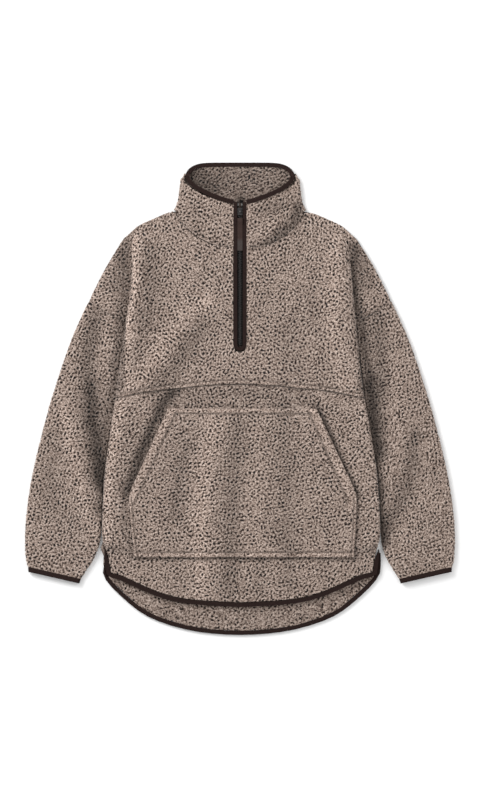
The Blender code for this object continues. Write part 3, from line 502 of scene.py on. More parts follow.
def grow_pile(piece, seed, strength=1.0):
    """Moves the shown points in and out, and stores where each lies between hole and curl."""
    points, normals = points_of(piece), normals_of(piece)
    lumps = waves(points, CURL_SPACING, seed)
    holes = np.minimum(lumps - HOLE_START, 0) * HOLE_STRENGTH
    tufts = waves(points, TUFT_SPACING, seed + 50)
    curls = (holes + CURL_SHARE * lumps + TUFT_SHARE * tufts) * strength * recall(piece, "calm")
    seen = neighbour_mean(piece, recall(piece, "seen"), 2)
    under = np.clip((FLAT_BELOW - points[:, 2]) / MM, 0, 1)
    height = np.where(curls < 0, curls * PILE_DEPTH, curls * PILE_RISE * (1 - under))
    height = np.clip(height, -DEEPEST * PILE_DEPTH, HIGHEST * PILE_RISE)
    set_points(piece, points + normals * (height * seen)[:, None])
    keep(piece, "pile", curls)


# %% [markdown]
# ## Folds and pressed lines
# A laid garment keeps soft folds: ridges and troughs, each with its own length, width and depth.
# They are given as lines in millimetres seen from above, and each lifts or sinks the cloth beside it
# in the shape of a bell. Each fold also has a tone: shade is painted into its trough and a highlight
# onto its ridge. A topstitched seam is drawn the same way: a groove under the thread, with painted
# shade in it, and a slightly puffed hem beside it, with a painted highlight.

# %% Drawn lines
def rounded(line, times=2):
    """Cuts the corners of a drawn line, so that it runs smoothly. Millimetres become metres."""
    line = np.array(line, float) * MM
    for _ in range(times):
        before, after = line[:-1], line[1:]
        cuts = np.stack([before * 0.75 + after * 0.25, before * 0.25 + after * 0.75], 1)
        line = np.vstack([line[:1], cuts.reshape(-1, 2), line[-1:]])
    return line


def mirrored(line):
    """A drawn line on the garment's other side."""
    return tuple((-x, y) for x, y in line)


def line_gap(points, line):
    """Distance of points from a line seen from above, and 1 where they are on its left hand."""
    nearest, side = np.full(len(points), 9.0), np.zeros(len(points))
    for start, end in zip(line[:-1], line[1:]):
        run = end - start
        share = np.clip((points - start) @ run / (run @ run), 0, 1)
        gap = points - start - share[:, None] * run
        away = np.hypot(gap[:, 0], gap[:, 1])
        closer = away < nearest
        nearest[closer] = away[closer]
        side[closer] = np.sign(run[0] * gap[:, 1] - run[1] * gap[:, 0])[closer]
    return nearest, side


def bell(piece, line, width):
    """1 on a drawn line, falling away softly over that width in millimetres."""
    gap = line_gap(points_of(piece)[:, :2], rounded(line))[0]
    return np.exp(-(gap / (width * MM)) ** 2)


# %% Folds
# A fold's tone is painted: below 0 it paints shade into the trough, above 0 a highlight onto the ridge.
Fold = namedtuple("Fold", "line width height tone")
FOLD_WOBBLE = 1.2 * MM
WOBBLE_SPACING = 52 * MM
WOBBLE_WAVES = 24
WOBBLE_SEEDS = (31, 32)
LOWER_LAYER_TOP = 3.6 * MM
UPPER_LAYER_FROM = 3.0 * MM
# Limits of the painted shading, from its darkest shade to its palest highlight.
DARKEST, PALEST = 0.16, 1.5


# Multiplies a piece's painted shading: below 1 paints shade, above 1 paints a highlight.
def paint_shading(piece, factor):
    keep(piece, "shade", np.clip(recall(piece, "shade") * factor, DARKEST, PALEST))


def lay_folds(piece, folds, where=1.0):
    """Lifts the upper layer along drawn lines with painted shade and highlight, in full where the mask
    is 1.
    """
    points = points_of(piece)
    sway = [waves(points, WOBBLE_SPACING, seed, WOBBLE_WAVES) for seed in WOBBLE_SEEDS]
    flat = points[:, :2] + FOLD_WOBBLE * np.stack(sway, 1)
    upper = soft_step((points[:, 2] - LOWER_LAYER_TOP) / UPPER_LAYER_FROM) * where
    rise, tone = np.zeros(len(points)), np.ones(len(points))
    for fold in folds:
        share = np.exp(-(line_gap(flat, rounded(fold.line))[0] / (fold.width * MM)) ** 2) * upper
        rise += share * fold.height * MM
        tone *= 1 + share * fold.tone
    points[:, 2] += rise
    set_points(piece, points)
    paint_shading(piece, tone)


# %% Seams and edges
STITCH_GROOVE = 0.9 * MM
GROOVE_WIDTH = 1.6 * MM
GROOVE_CALM = 0.6
# Painted shade in a stitch groove.
GROOVE_SHADE = 0.48
HEM_PUFF = 0.6 * MM
HEM_CALM = 0.35
# Painted highlight on the puffed hem beside a stitch line.
HEM_PAINTED_HIGHLIGHT = 0.22
EDGE_CALM = 0.7
Join = namedtuple("Join", "line shift reach")


def press_seam(piece, line, band):
    """Stitch groove with painted shade, and on its left a puffed hem of that width with a painted
    highlight.
    """
    points = points_of(piece)
    top = soft_step(normals_of(piece)[:, 2] * 2)
    gap, side = line_gap(points[:, :2], rounded(line))
    groove = np.exp(-(gap / GROOVE_WIDTH) ** 2) * top
    hem = np.where(side > 0, np.sin(pi * np.clip(gap / (band * MM), 0, 1)), 0) * top
    points[:, 2] += hem * HEM_PUFF - groove * STITCH_GROOVE
    set_points(piece, points)
    calm = recall(piece, "calm") * (1 - GROOVE_CALM * groove) * (1 - HEM_CALM * hem)
    keep(piece, "calm", calm)
    # Painted shade in the groove and a painted highlight on the hem.
    paint_shading(piece, (1 - GROOVE_SHADE * groove) * (1 + HEM_PAINTED_HIGHLIGHT * hem))


def calm_edge(piece, line, reach=3.0):
    """Shortens the pile beside a sewn edge, so that the edge stays a clean line."""
    keep(piece, "calm", recall(piece, "calm") * (1 - EDGE_CALM * bell(piece, line, reach)))


def close_gap(piece, join):
    """Moves the points beside a sewn edge over to the piece that it joins."""
    points = points_of(piece)
    points[:, :2] += bell(piece, join.line, join.reach)[:, None] * np.array(join.shift) * MM
    set_points(piece, points)


# %% [markdown]
# ## Thread
# One stitch is a short thread with rounded ends that dips into the cloth. It is modelled once, and
# copied along each sewn line at 4 mm, the stitch length of a heavy knit.

# %% Stitches
STITCH_PITCH = 4.0 * MM
STITCH_LENGTH = 3.1 * MM
THREAD = 0.34 * MM
STITCH_SINK = 0.05 * MM
HIGH_ABOVE = 0.1
DOWN = Vector((0, 0, -1))

thread_finish = Paint("taupe_thread", 0.8, Sheen_Weight=0.1)
thread_finish.mottle(0.002, (0.13, 0.095, 0.077), (0.21, 0.16, 0.13))


def make_stitch():
    bpy.ops.mesh.primitive_uv_sphere_add(segments=6, ring_count=5, radius=1, rotation=(0, pi / 2, 0))
    stitch = bpy.context.object
    stitch.scale = (THREAD, THREAD, STITCH_LENGTH / 2)
    bpy.ops.object.transform_apply(location=False, rotation=True, scale=True)
    stitch.data.shade_smooth()
    stitch.data.materials.append(thread_finish.material)
    return stitch


def sew(piece, name, lines):
    """Lays stitches on a piece along its pressed lines, as one object."""
    cloth = tree_of(piece.data)
    first = make_stitch()
    copies = []
    for line in lines:
        line = rounded(line)
        steps = np.hypot(*np.diff(line, axis=0).T)
        along = np.concatenate([[0], np.cumsum(steps)])
        for at in np.arange(STITCH_PITCH / 2, along[-1], STITCH_PITCH):
            ends = [at - STITCH_LENGTH / 2, at + STITCH_LENGTH / 2]
            spots = [Vector((np.interp(end, along, line[:, 0]), np.interp(end, along, line[:, 1]),
                             HIGH_ABOVE)) for end in ends]
            hits = [cloth.ray_cast(spot, DOWN)[0] for spot in spots]
            if None in hits:
                continue
            copy = bpy.data.objects.new(name, first.data.copy())
            bpy.context.scene.collection.objects.link(copy)
            copy.rotation_euler = (hits[1] - hits[0]).to_track_quat("X", "Z").to_euler()
            copy.location = (hits[0] + hits[1]) / 2 + Vector((0, 0, THREAD - STITCH_SINK))
            copies.append(copy)
    bpy.data.objects.remove(first)
    seam = join_copies(copies, name)
    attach(seam, "garment")
    print(name, "stitches:", len(copies))
    return seam


# %% [markdown]
# ## Dressing a node
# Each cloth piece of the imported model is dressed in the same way: its copy is rounded, smoothed and
# refined, and gets the fleece. It then stands for its node.

# %% Dress a cloth node
SMOOTHING = 2
CUTS_IN_HALF = 4


def clothe(piece, node_name):
    """Gives a piece its fleece, and lets it stand for its node."""
    count = len(piece.data.vertices)
    # Painted shading starts at 1 everywhere, which paints nothing.
    keep(piece, "shade", np.ones(count))
    keep(piece, "calm", np.ones(count))
    piece.data.materials.append(fleece_finish)
    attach(piece, "garment")
    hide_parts(node_name)


def dress(node_name, piece_name):
    """Makes the fleece piece that stands for a cloth node."""
    piece = copy_node(node_name, piece_name)
    round_edges(piece, EDGE_ROUND)
    subdivide_smoothly(piece, SMOOTHING)
    set_grain(piece)
    refine(piece, CUTS_IN_HALF)
    clothe(piece, node_name)
    return piece


# %% [markdown]
# ## Folds of this garment
# The body's sides roll over, and the sleeves lie in deep valleys beside them. The chest has a long
# ridge on the left, the pocket and the hem have a few upright waves, and the stand collar has a
# diagonal fold on its right.

# %% Where the folds are
# The last number of each fold is its painted tone: below 0 paints shade, above 0 a highlight.
FRONT_FOLDS = (
    Fold(((-184, 278), (-184, 208), (-192, 138), (-200, 68), (-206, 7), (-215, -54), (-224, -107),
          (-229, -177), (-233, -247)), 9.0, 0.0, 0.34),
    Fold(((-158, 261), (-156, 191), (-163, 130)), 15.9, -1.6, -0.22),
    Fold(((-58, 168), (-90, 141), (-114, 112), (-139, 80), (-161, 50), (-183, 18)), 17.0, 1.4, 0.28),
    Fold(((-66, 128), (-86, 100), (-104, 68), (-128, 32), (-146, 16)), 19.0, -2.2, -0.3),
    Fold(((168, 278), (164, 208), (163, 121), (182, 24)), 16.0, 0.8, 0.2),
    Fold(((88, 121), (91, 47)), 18.2, -1.2, -0.14),
    Fold(((128, 173), (136, 112)), 15.9, -1.0, -0.1),
    Fold(((-93, -80), (-107, -142), (-112, -203)), 13.7, -1.8, -0.26),
    Fold(((-42, -46), (-56, -107), (-63, -159), (-66, -229), (-70, -334)), 18.0, 1.4, 0.32),
    Fold(((-4, -46), (-7, -124), (-14, -186), (-18, -338)), 18.2, -1.8, -0.27),
    Fold(((23, -124), (24, -273)), 20.5, 0.6, 0.08),
    Fold(((77, -19), (84, -124), (82, -256)), 19.0, -1.6, -0.2),
    Fold(((38, -285), (38, -338)), 11.4, -1.2, -0.15),
    Fold(((89, -285), (89, -334)), 11.4, -1.4, -0.18),
    Fold(((122, -285), (126, -320)), 13.7, 0.6, 0.08),
)
SIDE_FOLDS = (
    Fold(((-200, 270), (-198, 234), (-203, 173), (-208, 121), (-214, 68), (-219, 16), (-231, -37),
          (-238, -72), (-240, -124), (-242, -194)), 13.5, -1.0, -0.46),
    Fold(((-252, 142), (-262, 94), (-266, 51), (-266, 7), (-261, -37), (-254, -72), (-247, -107),
          (-243, -145)), 15.5, -2.4, -0.42),
    Fold(((-256, 20), (-258, -40), (-252, -90), (-245, -150)), 15.0, -1.0, -0.5),
    Fold(((-234, 130), (-236, 68), (-238, 7)), 11.4, 0.5, 0.08),
    Fold(((-306, -19), (-301, -54), (-294, -89), (-284, -124), (-273, -159), (-264, -194),
          (-259, -233)), 13.7, 1.0, 0.2),
    Fold(((-326, -63), (-331, -124), (-326, -180)), 18.2, -1.2, -0.18),
    Fold(((-312, -203), (-289, -220)), 15.9, -0.6, -0.1),
    Fold(((-212, 252), (-220, 200)), 15.9, -0.6, -0.22),
    Fold(((201, 264), (198, 217), (203, 173), (214, 121), (220, 68), (228, 16), (233, -37),
          (238, -89), (242, -142), (245, -194), (250, -250)), 11.4, -1.6, -0.62),
    Fold(((229, 24), (236, -37), (240, -89)), 20.0, -1.6, -0.5),
    Fold(((240, 142), (245, 86), (248, 24)), 15.0, -0.8, -0.32),
    Fold(((273, 77), (270, -37), (266, -124)), 13.7, 0.6, 0.08),
    Fold(((306, -63), (303, -110), (292, -159), (278, -187), (262, -214), (252, -243)), 13.7, -2.2,
         -0.34),
    Fold(((332, -177), (301, -215), (273, -261)), 20.5, 0.8, 0.08),
    Fold(((217, 240), (220, 200)), 13.7, -0.6, -0.3),
    Fold(((-266, 170), (-231, 149), (-200, 130)), 5.0, -0.6, -0.22),
    Fold(((271, 168), (245, 158), (214, 142)), 5.0, -0.6, -0.22),
)
COLLAR_FOLDS = (
    Fold(((103, 338), (96, 318), (77, 294), (49, 271)), 10.2, -1.4, -0.42),
    Fold(((38, 331), (74, 340)), 13.7, -0.8, -0.22),
    Fold(((88, 331), (63, 306), (38, 284)), 8.0, 0.8, 0.15),
    Fold(((-79, 343), (-70, 310)), 8.0, -0.5, -0.1),
    Fold(((-108, 318), (-88, 299), (-60, 280), (-21, 268)), 5.0, -0.6, -0.22),
    Fold(((108, 329), (88, 292), (52, 273), (21, 266)), 7.3, -0.8, -0.35),
)
# Painted shadows on the lower panel beside the pocket's edges.
POCKET_SHADOWS = (
    Fold(((-118, 10), (-140, -18), (-155, -54), (-169, -89), (-181, -124), (-197, -161)), 11.5, -1.8,
         -0.74),
    Fold(((136, -16), (154, -54), (172, -98), (189, -133), (205, -163)), 6.5, -1.2, -0.7),
    Fold(((-203, -172), (-198, -229), (-191, -275)), 5.9, -0.4, -0.3),
    Fold(((205, -168), (206, -212), (203, -275)), 5.9, -0.4, -0.3),
    Fold(((-119, -12), (131, -12)), 4.5, -0.4, -0.22),
    Fold(((-110, 6), (0, 12), (120, 4)), 12.0, 0, -0.2),
    Fold(((-186, -279), (198, -279)), 3.4, -0.4, -0.4),
)
print("folds and shadows:", len(FRONT_FOLDS + SIDE_FOLDS + COLLAR_FOLDS + POCKET_SHADOWS))

# %% [markdown]
# ## Front yoke
# The yoke has the neck curve, the zip's slit and both dropped shoulders. Its lower edge is sewn down
# and topstitched 8 mm above the seam. Inside the body's own edge it takes the folds of the front, and
# beyond that edge, where the shoulders drop, it takes those of the sleeves.

# %% Where the body ends
# Each pair is a place along Y and the body's half width there, first on its left, then on its right.
BODY_EDGES = (((131, 198.5), (191, 189.5), (238, 187), (268, 188), (299, 183)),
              ((131, 201.5), (191, 196), (238, 192), (268, 188), (299, 181)))
BODY_EDGE_BLEND = 2


def beyond_body(piece):
    """1 on a piece's dropped shoulders, outside the fold of the body, and 0 inside it."""
    x, y = points_of(piece).T[:2] / MM
    left, right = (np.interp(y, *np.array(edge).T) for edge in BODY_EDGES)
    return soft_step((np.abs(x) - np.where(x < 0, left, right)) / BODY_EDGE_BLEND)


# %% Front yoke
SEAM_HALF = ((216, 1.5), (184, 8), (165, 12), (120, 17), (80, 21), (45, 24.3))
YOKE_SEAM = SEAM_HALF + ((0, 25.4),) + mirrored(SEAM_HALF)[::-1]
YOKE_HEM = 8.0
STITCHED_SHARE = 0.95
yoke_stitching = tuple((x * STITCHED_SHARE, y + YOKE_HEM) for x, y in YOKE_SEAM)
yoke_seam_shadow = Fold(YOKE_SEAM, 2.6, -0.3, -0.5)

yoke = dress("front_yoke", "yoke_fleece")
shoulders = beyond_body(yoke)
lay_folds(yoke, FRONT_FOLDS + COLLAR_FOLDS[-2:] + (yoke_seam_shadow,), 1 - shoulders)
lay_folds(yoke, SIDE_FOLDS, shoulders)
press_seam(yoke, yoke_stitching, YOKE_HEM)
calm_edge(yoke, YOKE_SEAM)
yoke_thread = sew(yoke, "yoke_stitches", [yoke_stitching])
grow_pile(yoke, seed=11)
report(yoke)

# %% [markdown]
# ## Front lower panel
# This panel runs from the yoke seam to the rounded hem. It is pressed down under the pocket's open
# sides, and deep shadows are painted beside them and along the pocket's top and bottom edges.

# %% Front lower panel
lower = dress("front_lower_panel", "lower_front_fleece")
lay_folds(lower, FRONT_FOLDS + POCKET_SHADOWS + (yoke_seam_shadow,))
calm_edge(lower, YOKE_SEAM)
grow_pile(lower, seed=12)
report(lower)

# %% [markdown]
# ## Kangaroo pocket
# The pocket's hems are turned in and topstitched: wide ones along both openings, narrow ones at the
# lower sides, and medium ones above and below.

# %% Kangaroo pocket
Hem = namedtuple("Hem", "line band")
POCKET_EDGE = ((-126, -16.5), (133.5, -16.5), (204, -166), (202, -222), (198.6, -276.5),
               (-184, -276.5), (-190, -222), (-194, -166), (-126, -16.5))
POCKET_HEMS = (
    Hem(((-112, -25.4), (125, -25.4)), 8.9),
    Hem(((196, -267.8), (-181, -267.8)), 8.7),
    Hem(((-185, -184), (-179.6, -172.5), (-111.6, -23)), 15.8),
    Hem(((120, -23), (183, -165), (187, -184)), 15.8),
    Hem(((-179.6, -275), (-185.6, -222), (-189.5, -172)), 4.4),
    Hem(((199.5, -172), (197.6, -222), (194.2, -275)), 4.4),
)

pocket = dress("kangaroo_pocket", "pocket_fleece")
lay_folds(pocket, FRONT_FOLDS)
calm_edge(pocket, POCKET_EDGE)
for hem in POCKET_HEMS:
    press_seam(pocket, hem.line, hem.band)
pocket_thread = sew(pocket, "pocket_stitches", [hem.line for hem in POCKET_HEMS])
grow_pile(pocket, seed=13)
report(pocket)

# %% [markdown]
# ## Collar
# The stand collar is a flattened tube. Its back half shows from the inside, through the neck, where
# less light falls on it: that shade is painted on, darkest on the left, and a shadow is painted round
# the zip's top stops. Its base is pulled over to the yoke. Its sides rise and taper a little, and its
# back edge is tucked into the binding.

# %% Shape of the collar
SIDE_WIDTH, SIDE_BLEND = 86 * MM, 6 * MM
SIDE_FROM = 376 * MM
SIDE_REACH = 12.5 * MM
SIDE_LIFT = 5.5 * MM
SIDE_TAPER = 4.4 * MM
BACK_LAYER = 4 * MM
BACK_TUCK = 1.4 * MM
BACK_CORNER = 50 * MM


def shape_collar(piece):
    """Lifts and tapers the collar's sides, and tucks its back edge into the binding."""
    points = points_of(piece)
    outside = soft_step((np.abs(points[:, 0]) - SIDE_WIDTH) / SIDE_BLEND)
    high = soft_step((points[:, 1] - SIDE_FROM) / SIDE_REACH) * outside
    points[:, 1] += SIDE_LIFT * high
    points[:, 0] -= np.sign(points[:, 0]) * SIDE_TAPER * high ** 2
    tucked = (points[:, 2] < BACK_LAYER) & (points[:, 1] > SIDE_FROM) & (high < 0.5)
    sideways = soft_step(np.abs(points[:, 0]) / BACK_CORNER - 1)
    points[:, 1] += BACK_TUCK * tucked
    points[:, 0] += np.sign(points[:, 0]) * BACK_TUCK * tucked * sideways
    set_points(piece, points)


# %% Shade of the collar
# Painted shade on the collar's inside, deeper on the left, and a painted shadow round the top stops.
INSIDE_PAINTED_SHADE = 0.66
INSIDE_TOP, INSIDE_BLEND = 8 * MM, 2 * MM
INSIDE_WIDTH = 96 * MM
INSIDE_FROM = 330 * MM
INSIDE_SHADOW = Fold(((-80, 384), (-60, 368)), 28, 0, -0.46)
STOP_SHADE = 0.75
STOP_PLACE, STOP_REACH = 346 * MM, 9 * MM


def shade_collar(piece):
    """Paints shade on the inside that shows through the neck, and a shadow round the zip's top stops.
    """
    x, y, z = points_of(piece).T
    inside = soft_step((INSIDE_TOP - z) / INSIDE_BLEND)
    inside *= (np.abs(x) < INSIDE_WIDTH) & (y > INSIDE_FROM)
    left_painted_shade = 1 + INSIDE_SHADOW.tone * bell(piece, INSIDE_SHADOW.line, INSIDE_SHADOW.width)
    paint_shading(piece, 1 + inside * (left_painted_shade * INSIDE_PAINTED_SHADE - 1))
    paint_shading(piece, 1 - STOP_SHADE * np.exp(-(np.hypot(x, y - STOP_PLACE) / STOP_REACH) ** 2))


# %% Collar
COLLAR_JOINS = (Join(COLLAR_FOLDS[-2].line, (-1.2, -1.4), 5.0),
                Join(COLLAR_FOLDS[-1].line, (1.2, -1.4), 5.0))

collar = dress("collar", "collar_fleece")
lay_folds(collar, COLLAR_FOLDS)
for join in COLLAR_JOINS:
    close_gap(collar, join)
shape_collar(collar)
shade_collar(collar)
grow_pile(collar, seed=14)
report(collar)

# %% [markdown]
# ## Sleeves
# Each sleeve is a flattened tube, set in along the dropped shoulder. Its cloth dips beside the body
# and has one long diagonal fold. Its armhole and its inner edge are pulled over to the body, so that
# no floor shows between them.

# %% Sleeves
LEFT_JOINS = (
    Join(SIDE_FOLDS[-2].line, (1.6, 2.8), 5.0),
    Join(((-203, 131), (-206, 107), (-211, 60), (-218, 16), (-228, -30), (-236, -70)), (4.6, 0.4), 5.0),
)
RIGHT_JOINS = (
    Join(SIDE_FOLDS[-1].line, (-1.2, 2.8), 5.0),
    Join(((213, 142), (214, 107), (221, 60), (227, 16), (232, -37), (238, -89)), (-6.5, 0.4), 7.0),
)
LEFT_CUFF = ((-372, -294), (-367, -295), (-282, -315), (-277, -317))
RIGHT_CUFF = mirrored(LEFT_CUFF)
CUFF_REACH = 4.0


def make_sleeve(node_name, piece_name, joins, cuff, seed):
    """One sleeve, joined to the body."""
    sleeve = dress(node_name, piece_name)
    for join in joins:
        close_gap(sleeve, join)
    lay_folds(sleeve, SIDE_FOLDS)
    calm_edge(sleeve, cuff, CUFF_REACH)
    grow_pile(sleeve, seed)
    report(sleeve)
    return sleeve


left_sleeve = make_sleeve("sleeve_left", "left_sleeve_fleece", LEFT_JOINS, LEFT_CUFF, seed=15)
right_sleeve = make_sleeve("sleeve_right", "right_sleeve_fleece", RIGHT_JOINS, RIGHT_CUFF, seed=16)

# %% [markdown]
# ## Back panel
# The back is one flat layer on the surface. Its solid has few, very long faces, so its copy is cut
# into a regular grid with bisect planes before it is refined. It shows only as a strip below the
# front hem. There the grain is fine all over and a little shade is painted on; the rest lies in the
# front's shade, which is painted on it too.

# %% Back panel cut into a grid
BACK_CELL = 13 * MM

back = copy_node("back_panel", "back_fleece")
round_edges(back, EDGE_ROUND)
low_corner, high_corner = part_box("back_panel")
only(back)
bpy.ops.object.mode_set(mode="EDIT")
for axis, normal in ((0, (1, 0, 0)), (1, (0, 1, 0))):
    across = low_corner[axis] + BACK_CELL / 2
    while across < high_corner[axis]:
        bpy.ops.mesh.select_all(action="SELECT")
        bpy.ops.mesh.bisect(plane_co=(across, across, 0), plane_no=normal)
        across += BACK_CELL
bpy.ops.object.mode_set(mode="OBJECT")
back.data.shade_smooth()
print("grid:", len(back.data.polygons), "faces")

# %% Back panel
BACK_CUTS_IN_HALF = 5
# Painted shade over the whole back.
BACK_PAINTED_SHADE = 0.87
BACK_PILE = 0.8
STRIP_MARGIN = 10 * MM
COVERED_SHADE = 0.7
COVERED_REACH = 8 * MM
FRONT_HEM = ((0, -355), (60, -352), (105, -347), (137, -339), (157, -331), (176, -323), (197, -313),
             (214, -306), (228, -303))
# Left of the first and below the second, the back shows beside the left vent too, and the front's
# painted shade is left off there.
VENT_STRIP = (-230 * MM, -245 * MM)
LEFT_VENT = ((-237, -262), (-238, -275), (-237, -289))
VENT_CLOTH = Join(LEFT_VENT, (-7.5, 0), 9.0)


def above_front_hem():
    """How far each point of the back lies above the front hem, as seen from above."""
    points = points_of(back)
    return points[:, 1] - np.interp(np.abs(points[:, 0]), *np.array(FRONT_HEM).T * MM)


set_grain(back)
strip = (above_front_hem() < STRIP_MARGIN) & (normals_of(back)[:, 2] > UNDERSIDE)
keep(back, "grain", np.where(strip, SHOWN_GRAIN, recall(back, "grain")))
refine(back, BACK_CUTS_IN_HALF)
clothe(back, "back_panel")
# Painted shade: a little on the strip, and much more on the back where the front lies over it.
covered = soft_step(above_front_hem() / COVERED_REACH)
back_points = points_of(back)
covered[(back_points[:, 0] < VENT_STRIP[0]) & (back_points[:, 1] < VENT_STRIP[1])] = 0
paint_shading(back, BACK_PAINTED_SHADE * (1 - COVERED_SHADE * covered))
close_gap(back, VENT_CLOTH)
grow_pile(back, 17, BACK_PILE)
report(back)

# %% [markdown]
# ## Binding
# All free edges are bound with a dark knitted tape that is folded round the fleece. Its solid is
# welded and rounded. The fine ribs run lengthwise, so their height is a wave of the distance from
# the cloth beside the tape, which each point stores as `across`.

# %% Binding material
RIB_PITCH = 1.45 * MM
RIB_TONE = 0.22
RIB_RELIEF = 0.3
BINDING_BUMP = 0.0004

binding_finish = Paint("brown_binding", 0.85, Specular_IOR_Level=0.1)
ribs = binding_finish.wave(binding_finish.attribute("across"), RIB_PITCH)
knit = binding_finish.noise(0.0016, 2.0)
binding_finish.feed("Base Color", binding_finish.ramp(ribs * RIB_TONE + knit, (
    (0.25, (0.010, 0.0052, 0.0045)), (0.75, (0.026, 0.0145, 0.0125)))))
binding_finish.bump(ribs * RIB_RELIEF + knit, BINDING_BUMP)
print("material:", binding_finish.material.name)

# %% Bind the edges
TAPE_ROUND = 1.7 * MM


def bind(node_name, piece_name, *panels):
    """Rounded copy of a binding's solid, with its distance from the panels beside it."""
    tape = copy_node(node_name, piece_name)
    round_edges(tape, TAPE_ROUND, 3)
    subdivide_smoothly(tape, 1)
    cloth = tree_of(*(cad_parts[panel].data for panel in panels))
    keep(tape, "across", [cloth.find_nearest(v.co)[3] for v in tape.data.vertices])
    tape.data.materials.append(binding_finish.material)
    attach(tape, "garment")
    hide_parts(node_name)
    report(tape)
    return tape


collar_tape = bind("collar_binding", "collar_tape", "collar")
zip_edge_tape = bind("zip_binding", "zip_edge_tape", "front_yoke", "collar")
front_hem_tape = bind("front_hem_binding", "front_hem_tape", "front_lower_panel")
back_hem_tape = bind("back_hem_binding", "back_hem_tape", "back_panel")
left_cuff_tape = bind("cuff_binding_left", "left_cuff_tape", "sleeve_left")
right_cuff_tape = bind("cuff_binding_right", "right_cuff_tape", "sleeve_right")

# %% [markdown]
# ## Vents and cuffs
# Where a vent ends, the tapes of the front and of the back meet in a point. The vent's cloth and its
# tape lie side by side there. At the cuffs the tape is pulled up over the fleece's edge.

# %% Vents and cuffs
VENT_FROM = -292 * MM
VENT_REACH = 24 * MM
VENT_RISE = 6.5 * MM
VENT_SIDE = 222 * MM
VENT_DRAW = 0.8
VENT_POINTS = (-236 * MM, 242.5 * MM)
RIGHT_VENT = ((241, -250), (242, -275), (239, -304))
TAPE_JOINS = (
    (back_hem_tape, Join(LEFT_VENT, (4.5, 0), 8.0)),
    (back_hem_tape, Join(RIGHT_VENT, (2.5, 0), 10.0)),
    (left_cuff_tape, Join(LEFT_CUFF, (0.6, 2.2), 3.5)),
    (right_cuff_tape, Join(RIGHT_CUFF, (-0.6, 2.2), 3.5)),
)


def point_vents(tape):
    """Draws the upper ends of a hem tape together to a point at the top of each vent."""
    points = points_of(tape)
    near = soft_step((points[:, 1] - VENT_FROM) / VENT_REACH) * (np.abs(points[:, 0]) > VENT_SIDE)
    apex = np.where(points[:, 0] < 0, *VENT_POINTS)
    points[:, 0] += (apex - points[:, 0]) * VENT_DRAW * near ** 2
    points[:, 1] += VENT_RISE * near
    set_points(tape, points)


for hem_tape in (front_hem_tape, back_hem_tape):
    point_vents(hem_tape)
for tape, join in TAPE_JOINS:
    close_gap(tape, join)
    print(tape.name, "moved by", join.shift, "mm")

# %% [markdown]
# ## Mouth of the zip
# At its top the slit's binding spreads like a small mouth and runs into the collar's binding.

# %% Mouth of the zip
MOUTH_FROM = 338 * MM
MOUTH_REACH = 16 * MM
MOUTH_SPREAD = 3.4 * MM
MOUTH_RISE = 2.5 * MM
MOUTH_INNER, MOUTH_BLEND = 4 * MM, 6 * MM

zip_points = points_of(zip_edge_tape)
mouth = soft_step((zip_points[:, 1] - MOUTH_FROM) / MOUTH_REACH) ** 2
outwards = np.clip((np.abs(zip_points[:, 0]) - MOUTH_INNER) / MOUTH_BLEND, 0, 1)
zip_points[:, 0] += np.sign(zip_points[:, 0]) * MOUTH_SPREAD * mouth * outwards
zip_points[:, 1] += MOUTH_RISE * mouth
set_points(zip_edge_tape, zip_points)
print("points in the mouth:", int((mouth > 0).sum()))

# %% [markdown]
# ## Zip
# Two woven tapes lie under the binding and a closed coil chain on them. The coil's teeth alternate
# from side to side. One tooth is a block that is bevelled to a rounded bar, and the others are copies
# of it.

# %% Zip teeth
TOOTH_PITCH = 1.5 * MM
TOOTH_SIZE = (4.4 * MM, 1.15 * MM, 1.9 * MM)
TOOTH_OFFSET = 1.35 * MM
TOOTH_BEVEL = 0.3 * MM

teeth_finish = Paint("black_nylon", 0.42, Specular_IOR_Level=0.4)
teeth_finish.mottle(0.003, (0.012, 0.011, 0.011), (0.024, 0.022, 0.022))


def add_block(name, size, place):
    """A plain block, as the start of a hard piece."""
    bpy.ops.mesh.primitive_cube_add(size=1, location=place)
    block = bpy.context.object
    block.name = name
    block.scale = size
    bpy.ops.object.transform_apply(location=True, rotation=False, scale=True)
    return block


tooth = add_block("tooth_block", TOOTH_SIZE, (0, 0, 0))
round_edges(tooth, TOOTH_BEVEL, 1)
tooth.data.materials.append(teeth_finish.material)

chain = tree_of(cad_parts["zip_chain"].data)
chain_low, chain_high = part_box("zip_chain")
teeth = []
for number, y in enumerate(np.arange(chain_low[1] + TOOTH_PITCH, chain_high[1], TOOTH_PITCH)):
    side = -1 if number % 2 else 1
    top = chain.ray_cast(Vector((side * TOOTH_OFFSET, y, HIGH_ABOVE)), DOWN)[0]
    copy = bpy.data.objects.new("tooth", tooth.data.copy())
    bpy.context.scene.collection.objects.link(copy)
    copy.location = (side * TOOTH_OFFSET, y, top.z - TOOTH_SIZE[2] / 2)
    teeth.append(copy)
bpy.data.objects.remove(tooth)
zip_teeth = join_copies(teeth, "zip_teeth")
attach(zip_teeth, "garment")
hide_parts("zip_chain")
print("teeth:", len(teeth))

# %% [markdown]
# ## Pull
# The pull is a small lacquered plate with round shoulders, a round hole for the slider's arch and a
# slot for the tape. It starts as a block of the plate's size, a little narrower above its foot. Its
# corners are bevelled wide, the two openings are cut through, and all its edges are broken.

# %% Lacquer and cuts
CORNER_STEPS = 6

lacquer = Paint("dark_lacquer", 0.34, Metallic=0.55, Coat_Weight=0.3)
lacquer.mottle(0.004, (0.045, 0.043, 0.042), (0.075, 0.072, 0.07))


